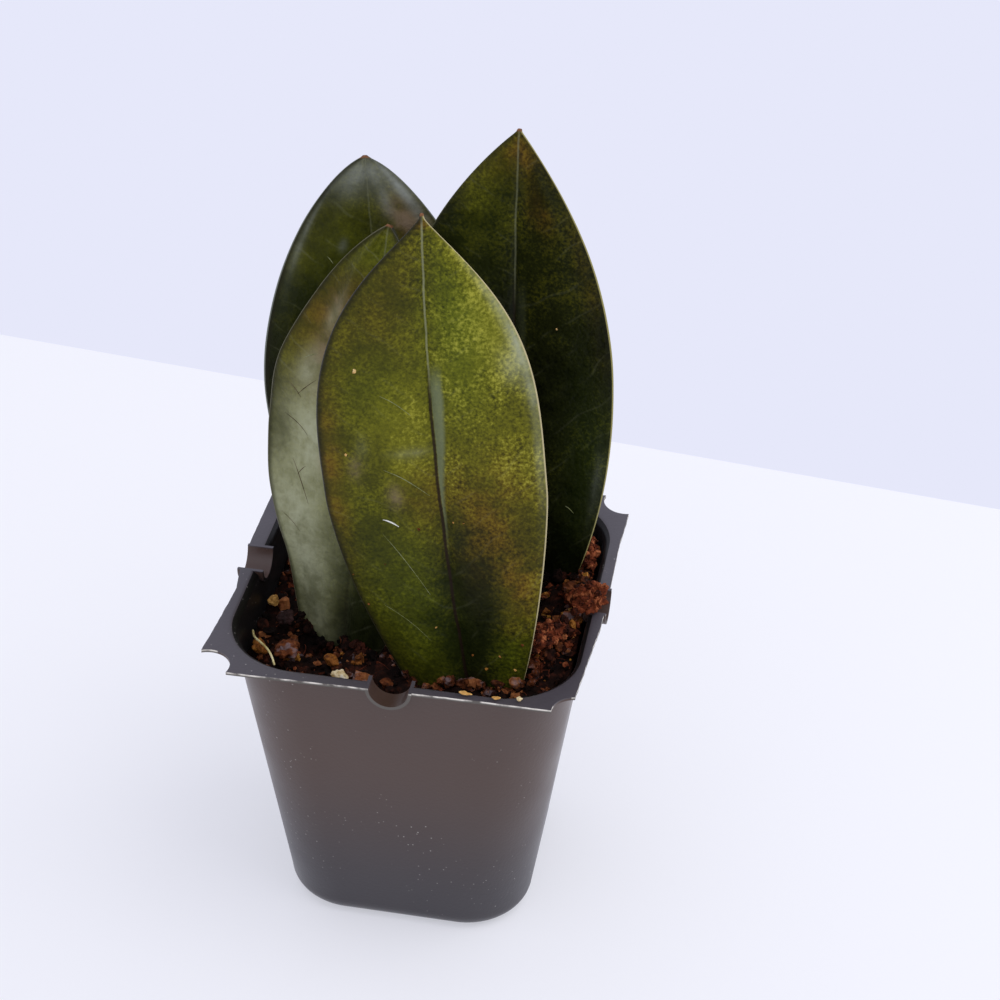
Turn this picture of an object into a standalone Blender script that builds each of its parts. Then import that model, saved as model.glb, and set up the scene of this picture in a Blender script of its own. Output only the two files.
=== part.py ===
"""Potted zz plant: four broad leaves standing in a square nursery pot of coir mix.

Units are metres and +Z is up. The origin is the centre of the pot's base, which stands on
z = 0. The front of the plant faces -Y.
"""
import math
import random

import bmesh
import bpy
from mathutils import Matrix, Vector, noise

MM = 0.001
GAP = 0.3 * MM

# Pot, outside sizes, from the base up
POT_HEIGHT = 64 * MM
WALL = 0.6 * MM
BASE_SIDE = 45.5 * MM
BASE_CORNER = 12.5 * MM
FOOT_RADIUS = 4 * MM
TOP_SIDE = 62.3 * MM
TOP_CORNER = 13.5 * MM
LIP_RADIUS = 1.0 * MM

# Flange: how far each snapped edge lies from the centre, at stations along it
FLANGE_EDGES = {
    "front": [(-28, 33.9), (-15, 33.6), (0, 33.2), (15, 32.8), (28, 32.7)],
    "right": [(-28, 31.8), (-19, 32.4), (-8, 33.3), (3, 33.4), (18, 33.2), (28, 33.6)],
    "back": [(-28, 33.7), (-10, 33.9), (6, 33.5), (28, 33.8)],
    "left": [(-28, 34.0), (-13, 34.2), (2, 34.2), (10, 33.0), (20, 33.6), (28, 34.3)],
}
FLANGE_CORNER = 2 * MM
SCALLOP_PLACE = 32.5 * MM
SCALLOP_RADIUS = 4.2 * MM
SCALLOP_TURN = math.radians(4)
TROUGH_RADIUS = 4.1 * MM
TROUGH_END = {"front": 33.3 * MM, "right": 33.7 * MM, "back": 33.7 * MM, "left": 34.4 * MM}
TROUGH_START = 29.6 * MM
DRAIN_RADIUS = 3 * MM
DRAIN_PLACE = 12.5 * MM

# Soil
SOIL_LEVEL = 55.5 * MM
SOIL_RISE = 5 * MM
SOIL_ROUGHNESS = 0.8 * MM
SOIL_FLOOR = WALL + GAP

# Leaves: all start this high, inside the soil
BURIED_Z = 42 * MM
STALK_HALF = 2 * MM
TIP_HALF = 0.35 * MM
BLADE_THICK = 1.1 * MM
MARGIN_THICK = 0.5 * MM
RIB_EXTRA = 0.7 * MM

# place: buried foot; az: way the face turns, degrees; lean, bend: backwards tilt at the foot
# and its growth to the tip; side, sweep: the same to the right; fold: each half's rise;
# wide: share of the length where the blade is widest; tip, foot: outline powers (m, n)
LEAVES = {
    "leaf_front": dict(place=(14.0, -18.7), az=-1.6, twist=15.5, lean=2.3, bend=-3.6,
                       side=-11.5, sweep=10.3, length=107.6, width=38.0, wide=0.50,
                       tip=(3.48, 1.26), foot=(1.35, 0.54), fold=3.6, uneven=-0.03),
    "leaf_back_right": dict(place=(18.9, 11.0), az=2.3, twist=-5.6, lean=1.6, bend=1.5,
                            side=-7.6, sweep=7.8, length=106.8, width=39.9, wide=0.56,
                            tip=(2.06, 0.95), foot=(2.1, 0.94), fold=6.2, uneven=0.10),
    "leaf_back_left": dict(place=(-10.2, 17.0), az=9.4, twist=-2.2, lean=0.6, bend=1.3,
                           side=-0.7, sweep=-4.3, length=97.0, width=42.6, wide=0.53,
                           tip=(1.86, 0.70), foot=(1.96, 0.90), fold=6.1, uneven=-0.01),
    "leaf_left": dict(place=(-14.9, -9.0), az=-28.8, twist=6.0, lean=6.7, bend=6.8,
                      side=1.8, sweep=-4.1, length=92.4, width=41.5, wide=0.54,
                      tip=(1.98, 0.86), foot=(1.40, 0.74), fold=4.9, uneven=-0.02),
}
LEAF_STATIONS = 27
POCKET_STATIONS = 7

# Loose pieces on the soil: place, size (mm), turn (degrees), finish
LOOSE_PIECES = {
    "bark_nugget_left": ((-28.0, -3.4), (2.7, 2.5, 2.2), 20, "pale_bark"),
    "bark_chip_left_back": ((-25.0, 5.5), (4.2, 3.0, 1.8), 60, "bark"),
    "bark_chip_left": ((-24.4, -8.4), (4.0, 3.4, 2.2), 100, "bark"),
    "bark_chunk_corner": ((-26.9, -17.3), (2.8, 4.2, 2.2), 25, "bark"),
    "bark_chunk_front_left": ((-21.9, -17.3), (4.8, 5.8, 2.6), -15, "bark"),
    "bark_chip_front": ((-3.6, -26.2), (3.8, 2.2, 1.6), 10, "bark"),
    "perlite_grain_front": ((-10.9, -22.3), (3.8, 2.6, 2.2), -25, "perlite"),
    "bark_nugget_middle": ((-13.4, -18.3), (3.8, 2.4, 2.0), -40, "pale_bark"),
    "bark_chip_right": ((20.2, -0.6), (1.8, 2.8, 1.6), 10, "bark"),
    "bark_chip_back": ((3.0, 25.0), (4.6, 3.2, 2.0), 30, "bark"),
    "bark_chunk_back_left": ((-21.0, 25.0), (3.6, 3.0, 2.0), 75, "bark"),
    "coir_clump_front_right": ((23.6, -11.8), (5.4, 9.4, 4.2), -28, "coir"),
    "coir_clump_back_right": ((27.8, 15.0), (3.4, 8.2, 3.8), 4, "coir"),
}
# Loose pieces on the flange: place, size (mm), turn (degrees), finish
FLANGE_PIECES = {
    "bark_sliver_front": ((13.2, -31.8), (2.6, 0.9, 0.6), -6, "pale_bark"),
    "bark_sliver_front_right": ((18.6, -31.9), (1.9, 0.9, 0.6), 8, "pale_bark"),
    "perlite_crumb_front": ((22.6, -31.6), (1.4, 1.3, 1.1), 0, "perlite"),
}
LUMPINESS = 0.16

# Clump over the rim: centre, radii (mm) and the height that it keeps over the flange
RIM_CLUMP_CENTRE = (30.0, -0.6, 64.4)
RIM_CLUMP_RADII = (3.4, 4.6, 2.4)
RIM_INSIDE = 28.2 * MM
RIM_CLEARANCE = 0.5 * MM

# Root strand: points (x, y, height over the soil) in mm
STRAND = [(-29.0, -14.2, 2.7), (-28.0, -16.6, 3.4), (-26.2, -18.8, 3.7), (-24.9, -19.9, 3.8),
          (-23.6, -21.6, 3.7), (-22.6, -23.6, 3.3)]
STRAND_RADIUS = 0.22 * MM

FINISHES = {
    "nursery_plastic": ((0.055, 0.050, 0.052), 0.42),
    "leaf_skin": ((0.035, 0.060, 0.012), 0.35),
    "potting_soil": ((0.022, 0.012, 0.008), 0.95),
    "coir": ((0.120, 0.035, 0.015), 0.95),
    "bark": ((0.090, 0.042, 0.022), 0.85),
    "pale_bark": ((0.480, 0.280, 0.110), 0.75),
    "perlite": ((0.650, 0.560, 0.420), 0.80),
    "root": ((0.560, 0.480, 0.260), 0.60),
}


def clear_scene():
    for obj in list(bpy.data.objects):
        bpy.data.objects.remove(obj, do_unlink=True)


def new_collection(name):
    collection = bpy.data.collections.new(name)
    bpy.context.scene.collection.children.link(collection)
    return collection


def finish(name):
    """Return the named material, making it the first time it is asked for."""
    material = bpy.data.materials.get(name)
    if material is None:
        colour, roughness = FINISHES[name]
        material = bpy.data.materials.new(name)
        material.use_nodes = True
        shader = material.node_tree.nodes["Principled BSDF"]
        shader.inputs["Base Color"].default_value = (*colour, 1)
        shader.inputs["Roughness"].default_value = roughness
        shader.inputs["Metallic"].default_value = 0
    return material


def add_object(name, mesh_data, collection, material_name=None):
    obj = bpy.data.objects.new(name, mesh_data)
    collection.objects.link(obj)
    if material_name:
        mesh_data.materials.append(finish(material_name))
    return obj


def mesh_from_bmesh(name, bm):
    bmesh.ops.recalc_face_normals(bm, faces=bm.faces)
    mesh_data = bpy.data.meshes.new(name)
    bm.to_mesh(mesh_data)
    bm.free()
    return mesh_data


def loft(bm, rings):
    """Join rings of points, each ring as long as the last, and return their vertices."""
    loops = [[bm.verts.new(point) for point in ring] for ring in rings]
    for lower, upper in zip(loops, loops[1:]):
        for i in range(len(lower)):
            j = (i + 1) % len(lower)
            bm.faces.new((lower[i], lower[j], upper[j], upper[i]))
    return loops


def make_cutter(obj):
    obj.hide_render = True
    obj.display_type = "WIRE"
    return obj


def add_boolean(obj, other, operation):
    modifier = obj.modifiers.new(operation.title() + " " + other.name, "BOOLEAN")
    modifier.object = other
    modifier.operation = operation
    modifier.solver = "EXACT"


def smooth_step(value):
    value = min(max(value, 0.0), 1.0)
    return value * value * (3 - 2 * value)


def along(stations, value):
    """Read a list of (place, size) stations at a value, straight between them."""
    if value <= stations[0][0]:
        return stations[0][1]
    for (x0, y0), (x1, y1) in zip(stations, stations[1:]):
        if value <= x1:
            return y0 + (y1 - y0) * (value - x0) / (x1 - x0)
    return stations[-1][1]


# ---------------------------------------------------------------- pot

ARC_STEPS = 8
SIDE_STEPS = 8


def rounded_square(side, corner):
    """Points round a square with round corners, in order."""
    points = []
    centre = side / 2 - corner
    for quarter in range(4):
        start = math.radians(90 * quarter)
        turn = Matrix.Rotation(start, 2)
        for i in range(ARC_STEPS):
            angle = math.radians(90) * i / ARC_STEPS
            arc = Vector((centre + corner * math.cos(angle), centre + corner * math.sin(angle)))
            points.append(turn @ arc)
        for i in range(SIDE_STEPS):
            x = centre - 2 * centre * i / SIDE_STEPS
            points.append(turn @ Vector((x, side / 2)))
    return points


def snapped_outline():
    """The flange's outer edge: a square whose sides are pushed to their snapped line."""
    points = []
    side = 2 * max(reach for edge in FLANGE_EDGES.values() for _, reach in edge) * MM
    for point in rounded_square(side, FLANGE_CORNER):
        x, y = point
        reach_x = along(FLANGE_EDGES["right" if x > 0 else "left"],
                        (y if x > 0 else -y) / MM) * MM
        reach_y = along(FLANGE_EDGES["back" if y > 0 else "front"],
                        (-x if y > 0 else x) / MM) * MM
        points.append(Vector((min(max(x, -reach_x), reach_x), min(max(y, -reach_y), reach_y))))
    return points


def wall_side(z):
    """Outside width and corner radius of the wall at a height."""
    share = z / POT_HEIGHT
    side = BASE_SIDE + (TOP_SIDE - BASE_SIDE) * share
    corner = BASE_CORNER + (TOP_CORNER - BASE_CORNER) * share
    return side, corner


def ring_at(side, corner, z):
    return [Vector((p.x, p.y, z)) for p in rounded_square(side, corner)]


def pot_rings():
    rings = []
    foot_steps = 4
    foot_side, foot_corner = wall_side(FOOT_RADIUS)
    for i in range(foot_steps + 1):
        angle = math.radians(90) * i / foot_steps
        inset = FOOT_RADIUS * (1 - math.sin(angle))
        z = FOOT_RADIUS * (1 - math.cos(angle))
        rings.append(ring_at(foot_side - 2 * inset, foot_corner - inset, z))
    under_flange = POT_HEIGHT - WALL
    lip_z = under_flange - LIP_RADIUS
    for z in (0.5 * lip_z, lip_z):
        rings.append(ring_at(*wall_side(z), z))
    lip_side, lip_corner = wall_side(lip_z)
    lip_steps = 3
    for i in range(1, lip_steps + 1):
        angle = math.radians(90) * i / lip_steps
        outset = LIP_RADIUS * (1 - math.cos(angle))
        z = lip_z + LIP_RADIUS * math.sin(angle)
        rings.append(ring_at(lip_side + 2 * outset, lip_corner + outset, z))
    rings.append([Vector((p.x, p.y, under_flange)) for p in snapped_outline()])
    return rings


def add_cylinder(bm, radius, depth, matrix, segments=32):
    bmesh.ops.create_cone(bm, cap_ends=True, segments=segments, radius1=radius,
                          radius2=radius, depth=depth, matrix=matrix)


def trough_matrix(quarter, start, end):
    """Place a cylinder along a side's outward way, its axis at the rim's top."""
    middle = (start + end) / 2
    turn = Matrix.Rotation(math.radians(90 * quarter), 4, "Z")
    return (turn @ Matrix.Translation((middle, 0, POT_HEIGHT))
            @ Matrix.Rotation(math.radians(90), 4, "Y"))


def trough_tool(name, radius, start, reach, collection):
    bm = bmesh.new()
    for quarter, side in enumerate(("right", "back", "left", "front")):
        end = TROUGH_END[side] + reach
        add_cylinder(bm, radius, end - start, trough_matrix(quarter, start, end))
    return make_cutter(add_object(name, mesh_from_bmesh(name, bm), collection))


def trough_blanks(name, collection):
    """Solid half cylinders under the rim's top face, one in the middle of each side."""
    bm = bmesh.new()
    for quarter, side in enumerate(("right", "back", "left", "front")):
        part = bmesh.new()
        end = TROUGH_END[side]
        add_cylinder(part, TROUGH_RADIUS, end - TROUGH_START,
                     trough_matrix(quarter, TROUGH_START, end))
        cut = bmesh.ops.bisect_plane(part, geom=part.verts[:] + part.edges[:] + part.faces[:],
                                     plane_co=(0, 0, POT_HEIGHT), plane_no=(0, 0, 1),
                                     clear_outer=True)
        rim = [item for item in cut["geom_cut"] if isinstance(item, bmesh.types.BMEdge)]
        bmesh.ops.contextual_create(part, geom=rim)
        half = mesh_from_bmesh("half trough", part)
        bm.from_mesh(half)
        bpy.data.meshes.remove(half)
    return make_cutter(add_object(name, mesh_from_bmesh(name, bm), collection))


def build_pot(parts, cutters):
    bm = bmesh.new()
    loops = loft(bm, pot_rings())
    bm.faces.new(reversed(loops[0]))
    mesh_data = bpy.data.meshes.new("pot")
    bm.to_mesh(mesh_data)
    bm.free()
    pot = add_object("pot", mesh_data, parts, "nursery_plastic")
    shell = pot.modifiers.new("Wall", "SOLIDIFY")
    shell.thickness = WALL
    shell.offset = -1
    shell.use_even_offset = True

    scallops = bmesh.new()
    for sx in (-1, 1):
        for sy in (-1, 1):
            place = Matrix.Translation((sx * SCALLOP_PLACE, sy * SCALLOP_PLACE, POT_HEIGHT))
            add_cylinder(scallops, SCALLOP_RADIUS, 4 * MM,
                         place @ Matrix.Rotation(SCALLOP_TURN, 4, "Z"))
    add_boolean(pot, trough_blanks("trough blanks", cutters), "UNION")
    add_boolean(pot, make_cutter(add_object("scallop cutters",
                                            mesh_from_bmesh("scallop cutters", scallops),
                                            cutters)), "DIFFERENCE")
    add_boolean(pot, trough_tool("trough cutters", TROUGH_RADIUS - WALL, TROUGH_START - 2 * MM,
                                 2 * MM, cutters), "DIFFERENCE")
    drains = bmesh.new()
    places = [(0, 0)] + [(sx * DRAIN_PLACE, sy * DRAIN_PLACE) for sx in (-1, 1) for sy in (-1, 1)]
    for x, y in places:
        add_cylinder(drains, DRAIN_RADIUS, 4 * MM, Matrix.Translation((x, y, 0)), 20)
    add_boolean(pot, make_cutter(add_object("drain cutters",
                                            mesh_from_bmesh("drain cutters", drains),
                                            cutters)), "DIFFERENCE")
    for polygon in pot.data.polygons:
        polygon.use_smooth = True
    return pot


# ---------------------------------------------------------------- leaves


def blade_half_width(leaf, s):
    """Half width at a share s of the length: two power curves that meet where it is widest."""
    wide = leaf["wide"]
    if s >= wide:
        m, n = leaf["tip"]
        share = (s - wide) / (1 - wide)
    else:
        m, n = leaf["foot"]
        share = (wide - s) / wide
    half = 0.5 * leaf["width"] * MM * (1 - share ** m) ** n
    return max(half, TIP_HALF if s >= wide else STALK_HALF)


def blade_axes(leaf, s):
    """Directions at a share of the length: along the midrib, across the blade, out of its face."""
    back = math.radians(leaf["lean"] + leaf["bend"] * s)
    side = math.radians(leaf["side"] + leaf["sweep"] * s)
    turn = math.radians(leaf["az"] + leaf["twist"] * s)
    face = Vector((math.sin(turn), -math.cos(turn), 0))
    right = Vector((math.cos(turn), math.sin(turn), 0))
    up = Vector((0, 0, 1))
    rising = up * math.cos(back) - face * math.sin(back)
    normal = face * math.cos(back) + up * math.sin(back)
    tangent = rising * math.cos(side) + right * math.sin(side)
    across = right * math.cos(side) - rising * math.sin(side)
    return tangent, across, normal


def midrib_point(leaf, s, steps=40):
    """Walk up the midrib from the buried foot."""
    point = Vector((leaf["place"][0] * MM, leaf["place"][1] * MM, BURIED_Z))
    step = s * leaf["length"] * MM / steps
    for i in range(steps):
        tangent, _, _ = blade_axes(leaf, s * (i + 0.5) / steps)
        point += tangent * step
    return point


ACROSS = (-1, -0.7, -0.4, -0.12, 0.12, 0.4, 0.7, 1)


def blade_section(leaf, s, grow):
    """A closed ring round the blade: its face from left to right, then its back."""
    _, across, normal = blade_axes(leaf, s)
    middle = midrib_point(leaf, s)
    half = blade_half_width(leaf, s) + grow
    fold = math.radians(leaf["fold"])
    front = []
    back = []
    for share in ACROSS:
        width = half * (1 - math.copysign(leaf["uneven"], share)) * abs(share)
        lift = width * math.sin(fold)
        place = middle + across * math.copysign(width * math.cos(fold), share) + normal * lift
        thick = MARGIN_THICK + (BLADE_THICK - MARGIN_THICK) * (1 - share * share)
        if abs(share) < 0.2:
            thick += RIB_EXTRA * (1 - s) ** 0.5
        thick = min(thick, 0.25 * half + MARGIN_THICK)
        front.append(place + normal * grow)
        back.append(place - normal * (thick + grow))
    return front + back[::-1]


def station_share(index):
    """Share of the length at a station: they stand closer together towards the tip."""
    share = index / (LEAF_STATIONS - 1)
    return 0.55 * math.sin(math.radians(90) * share) + 0.45 * share


def leaf_mesh(name, leaf, stations=LEAF_STATIONS, grow=0.0):
    bm = bmesh.new()
    rings = [blade_section(leaf, station_share(i), grow) for i in range(stations)]
    if grow:
        tangent, _, _ = blade_axes(leaf, 0)
        rings[0] = [point - tangent * grow for point in rings[0]]
    loops = loft(bm, rings)
    bm.faces.new(loops[0])
    bm.faces.new(loops[-1])
    return mesh_from_bmesh(name, bm)


def build_leaf(name, leaf, parts):
    obj = add_object(name, leaf_mesh(name, leaf), parts, "leaf_skin")
    obj.data.shade_smooth()
    obj.data.set_sharp_from_angle(angle=math.radians(50))
    return obj


# ---------------------------------------------------------------- soil


def soil_height(x, y):
    """Height of the soil's top: low at the left and front, banked up at the right."""
    bank = smooth_step((x / MM - 8) / 18) * smooth_step((y / MM + 26) / 16)
    coarse = noise.noise(Vector((x, y, 0)) / (7 * MM) + Vector((3.1, 7.7, 0.4)))
    fine = noise.noise(Vector((x, y, 0)) / (2.8 * MM) + Vector((9.2, 1.3, 5.0)))
    return SOIL_LEVEL + SOIL_RISE * bank + SOIL_ROUGHNESS * (coarse + 0.5 * fine)


def soil_ring(z):
    side, corner = wall_side(z)
    inset = WALL + GAP
    if z < FOOT_RADIUS:
        inset += FOOT_RADIUS - math.sqrt(max(FOOT_RADIUS ** 2 - (FOOT_RADIUS - z) ** 2, 0))
    return rounded_square(side - 2 * inset, corner - inset)


def build_soil(parts, cutters):
    bm = bmesh.new()
    rings = []
    for z in (SOIL_FLOOR, 1.9 * MM, FOOT_RADIUS + 0.4 * MM, 30 * MM):
        rings.append([Vector((p.x, p.y, z)) for p in soil_ring(z)])
    rim = soil_ring(SOIL_LEVEL - 2 * MM)
    for share in (1.0, 0.93, 0.84, 0.74, 0.62, 0.5, 0.37, 0.23, 0.1):
        points = [p * share for p in rim]
        rings.append([Vector((p.x, p.y, soil_height(p.x, p.y))) for p in points])
    loops = loft(bm, rings)
    bm.faces.new(loops[0])
    bm.faces.new(loops[-1])
    bmesh.ops.triangulate(bm, faces=[face for face in bm.faces if len(face.verts) > 4])
    soil = add_object("soil", mesh_from_bmesh("soil", bm), parts, "potting_soil")
    for name, leaf in LEAVES.items():
        pocket = leaf_mesh("pocket " + name, leaf, POCKET_STATIONS, GAP)
        add_boolean(soil, make_cutter(add_object("pocket " + name, pocket, cutters)),
                    "DIFFERENCE")
    return soil


# ---------------------------------------------------------------- loose pieces


def lump_mesh(name, size, turn, seed, level=2):
    """A stone-like lump: a round form pushed in and out by smooth noise."""
    bm = bmesh.new()
    bmesh.ops.create_icosphere(bm, subdivisions=level, radius=1)
    shift = Vector((seed * 3.7, seed * 1.9, seed * 5.3))
    for vert in bm.verts:
        vert.co *= 1 + LUMPINESS * 2 * noise.noise(vert.co * 1.3 + shift)
    for axis in range(3):
        low = min(vert.co[axis] for vert in bm.verts)
        high = max(vert.co[axis] for vert in bm.verts)
        for vert in bm.verts:
            vert.co[axis] = ((vert.co[axis] - low) / (high - low) - 0.5) * size[axis] * MM
    bmesh.ops.rotate(bm, verts=bm.verts, matrix=Matrix.Rotation(math.radians(turn), 3, "Z"))
    return mesh_from_bmesh(name, bm)


def highest_under(x, y, size):
    reach = 0.5 * max(size[0], size[1]) * MM
    steps = (-1, -0.5, 0, 0.5, 1)
    return max(soil_height(x + i * reach, y + j * reach) for i in steps for j in steps)


def build_loose_pieces(parts):
    seed = 1
    for name, (place, size, turn, material) in LOOSE_PIECES.items():
        x, y = place[0] * MM, place[1] * MM
        obj = add_object(name, lump_mesh(name, size, turn, seed), parts, material)
        obj.location = (x, y, highest_under(x, y, size) + 1.5 * GAP + 0.5 * size[2] * MM)
        seed += 1
    for name, (place, size, turn, material) in FLANGE_PIECES.items():
        obj = add_object(name, lump_mesh(name, size, turn, seed, 1), parts, material)
        obj.location = (place[0] * MM, place[1] * MM, POT_HEIGHT + GAP + 0.5 * size[2] * MM)
        seed += 1


def build_rim_clump(parts):
    """Fibrous clump that leans out over the right side of the rim."""
    bm = bmesh.new()
    bmesh.ops.create_icosphere(bm, subdivisions=3, radius=1)
    for vert in bm.verts:
        swell = 1 + 0.35 * noise.noise(vert.co * 2.2 + Vector((4.4, 0.2, 8.1)))
        for axis in range(3):
            vert.co[axis] = (vert.co[axis] * swell * RIM_CLUMP_RADII[axis]
                             + RIM_CLUMP_CENTRE[axis]) * MM
        if vert.co.x > RIM_INSIDE:
            vert.co.z = max(vert.co.z, POT_HEIGHT + RIM_CLEARANCE)
        vert.co.z = max(vert.co.z, soil_height(vert.co.x, vert.co.y) + 2 * GAP)
    return add_object("coir_clump_rim", mesh_from_bmesh("coir_clump_rim", bm), parts, "coir")


def build_strand(parts):
    curve = bpy.data.curves.new("root_strand", "CURVE")
    curve.dimensions = "3D"
    curve.bevel_depth = STRAND_RADIUS
    curve.bevel_resolution = 2
    curve.use_fill_caps = True
    spline = curve.splines.new("POLY")
    fine = []
    for i in range(len(STRAND) - 1):
        before = STRAND[max(i - 1, 0)]
        after = STRAND[min(i + 2, len(STRAND) - 1)]
        for step in range(3):
            t = step / 3
            fine.append([0.5 * (2 * b + (c - a) * t + (2 * a - 5 * b + 4 * c - d) * t * t
                                + (3 * b - a - 3 * c + d) * t ** 3)
                         for a, b, c, d in zip(before, STRAND[i], STRAND[i + 1], after)])
    fine.append(STRAND[-1])
    spline.points.add(len(fine) - 1)
    for point, (x, y, over) in zip(spline.points, fine):
        point.co = (x * MM, y * MM, soil_height(x * MM, y * MM) + over * MM, 1)
    curve.materials.append(finish("root"))
    strand = bpy.data.objects.new("root_strand", curve)
    parts.objects.link(strand)
    return strand


clear_scene()
plant_parts = new_collection("potted_zz_plant")
plant_cutters = new_collection("cutters")
build_pot(plant_parts, plant_cutters)
build_soil(plant_parts, plant_cutters)
for leaf_name, leaf_shape in LEAVES.items():
    build_leaf(leaf_name, leaf_shape, plant_parts)
build_loose_pieces(plant_parts)
build_rim_clump(plant_parts)
build_strand(plant_parts)
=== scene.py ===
"""Potted zz plant: the looks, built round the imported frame. Metres, +Z up, front towards -Y."""
import functools
import math
import random

import bpy
from mathutils import Matrix, Vector, noise


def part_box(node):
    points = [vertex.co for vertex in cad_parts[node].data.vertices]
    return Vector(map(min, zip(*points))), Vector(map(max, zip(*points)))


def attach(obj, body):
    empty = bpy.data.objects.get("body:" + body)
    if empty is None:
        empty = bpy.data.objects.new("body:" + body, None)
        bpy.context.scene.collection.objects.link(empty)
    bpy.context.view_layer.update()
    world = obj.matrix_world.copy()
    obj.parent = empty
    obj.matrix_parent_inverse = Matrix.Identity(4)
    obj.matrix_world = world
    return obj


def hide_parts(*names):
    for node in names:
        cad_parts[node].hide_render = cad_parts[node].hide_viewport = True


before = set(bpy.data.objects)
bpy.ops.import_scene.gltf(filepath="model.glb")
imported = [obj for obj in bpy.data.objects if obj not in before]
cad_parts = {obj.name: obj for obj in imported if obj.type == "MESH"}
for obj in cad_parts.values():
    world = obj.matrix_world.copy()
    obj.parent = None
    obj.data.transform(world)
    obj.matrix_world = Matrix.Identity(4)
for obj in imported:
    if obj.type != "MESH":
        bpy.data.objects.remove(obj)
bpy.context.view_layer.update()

MM = 0.001

# ---------------------------------------------------------------- table, light and camera
# A white acrylic sheet, lit from below so that shadows stay faint, whose back edge shows behind
# the plant in an evenly lit white room. The main light stands high at the right, a soft one in
# front fills the shadows, and a small lit card beside the plant brightens its right side.


def from_hex(code):
    """Turn an sRGB hex value into the linear colour that a shader takes."""
    values = [int(code[i:i + 2], 16) / 255 for i in (1, 3, 5)]
    return [v / 12.92 if v <= 0.04045 else ((v + 0.055) / 1.055) ** 2.4 for v in values] + [1.0]


def feed(socket, value):
    """Give an input of a node a link from another node, a number or a hex colour."""
    if isinstance(value, bpy.types.NodeSocket):
        socket.id_data.links.new(value, socket)
    else:
        socket.default_value = from_hex(value) if isinstance(value, str) else value


def set_inputs(node, **values):
    """Feed a node's inputs by name."""
    for key, value in values.items():
        feed(node.inputs[key.replace("_", " ")], value)


def add_node(tree, kind, settings, *values, give=None, **named):
    """Add one node with its settings. Its inputs take values in order, then by name. What comes
    back is the output that is named, or else the first one that is in use."""
    node = tree.nodes.new("ShaderNode" + kind)
    for key, value in settings.items():
        setattr(node, key, value)
    for socket, value in zip([socket for socket in node.inputs if socket.enabled], values):
        feed(socket, value)
    set_inputs(node, **named)
    if give:
        return node.outputs[give]
    return [socket for socket in node.outputs if socket.enabled][0]


def new_material(name):
    """A new material, its node tree and its Principled shader."""
    material = bpy.data.materials.new(name)
    material.use_nodes = True
    tree = material.node_tree
    return material, tree, tree.nodes["Principled BSDF"]


def deselect_all():
    """Leave edit mode and select nothing."""
    if bpy.context.object and bpy.context.object.mode != "OBJECT":
        bpy.ops.object.mode_set(mode="OBJECT")
    bpy.ops.object.select_all(action="DESELECT")


TABLE_BACK_LEFT = (-620 * MM, 216 * MM)
TABLE_BACK_RIGHT = (640 * MM, 87 * MM)
TABLE_DEPTH = 900 * MM

deselect_all()
bpy.ops.mesh.primitive_plane_add(size=1)
table = bpy.context.object
table.name = "table_top"
corners = [TABLE_BACK_LEFT, TABLE_BACK_RIGHT,
           (TABLE_BACK_LEFT[0], TABLE_BACK_LEFT[1] - TABLE_DEPTH),
           (TABLE_BACK_RIGHT[0], TABLE_BACK_RIGHT[1] - TABLE_DEPTH)]
for vert in table.data.vertices:
    is_back = vert.co.y > 0
    is_right = vert.co.x > 0
    x, y = corners[(0 if is_back else 2) + (1 if is_right else 0)]
    vert.co = (x, y, 0)
# Opal acrylic sheet with a matt face: it glows evenly and shows no highlight
acrylic, tree, shader = new_material("lit_white_acrylic_sheet")
set_inputs(shader, Base_Color="#B6B6B6", Emission_Color="#F1F2FA", Emission_Strength=0.48,
           Roughness=0.75, Specular_IOR_Level=0.1)
table.data.materials.append(acrylic)

room = bpy.data.worlds.new("white_room")
bpy.context.scene.world = room
room.use_nodes = True
set_inputs(room.node_tree.nodes["Background"], Color="#E6E8FA", Strength=1.0)

LIGHTS = {
    # place (m), size (m), power (W), colour
    "window_right": ((1.0, -0.4, 2.2), 1.3, 9.5, "#FFFCF8"),
    "soft_front": ((-0.4, -1.3, 1.6), 1.4, 2.0, "#FFFFFF"),
    "white_card": ((0.6, 0.15, 0.35), 0.5, 1.0, "#FFFFFF"),
}
AIM = Vector((0, 0, 0.07))
for name, (place, size, power, colour) in LIGHTS.items():
    lamp = bpy.data.lights.new(name, "AREA")
    lamp.size = size
    lamp.energy = power
    lamp.color = from_hex(colour)[:3]
    lamp_object = bpy.data.objects.new(name, lamp)
    bpy.context.scene.collection.objects.link(lamp_object)
    lamp_object.location = place
    lamp_object.rotation_euler = (AIM - Vector(place)).to_track_quat("-Z", "Y").to_euler()

POT_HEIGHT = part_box("pot")[1].z
CAMERA_YAW = math.radians(-8.92)
CAMERA_DOWN = math.radians(34.45)
CAMERA_ROLL = math.radians(1.83)
CAMERA_DISTANCE = 456.3 * MM
CAMERA_RIGHT = 13.5 * MM
CAMERA_UP = 14.4 * MM

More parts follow.
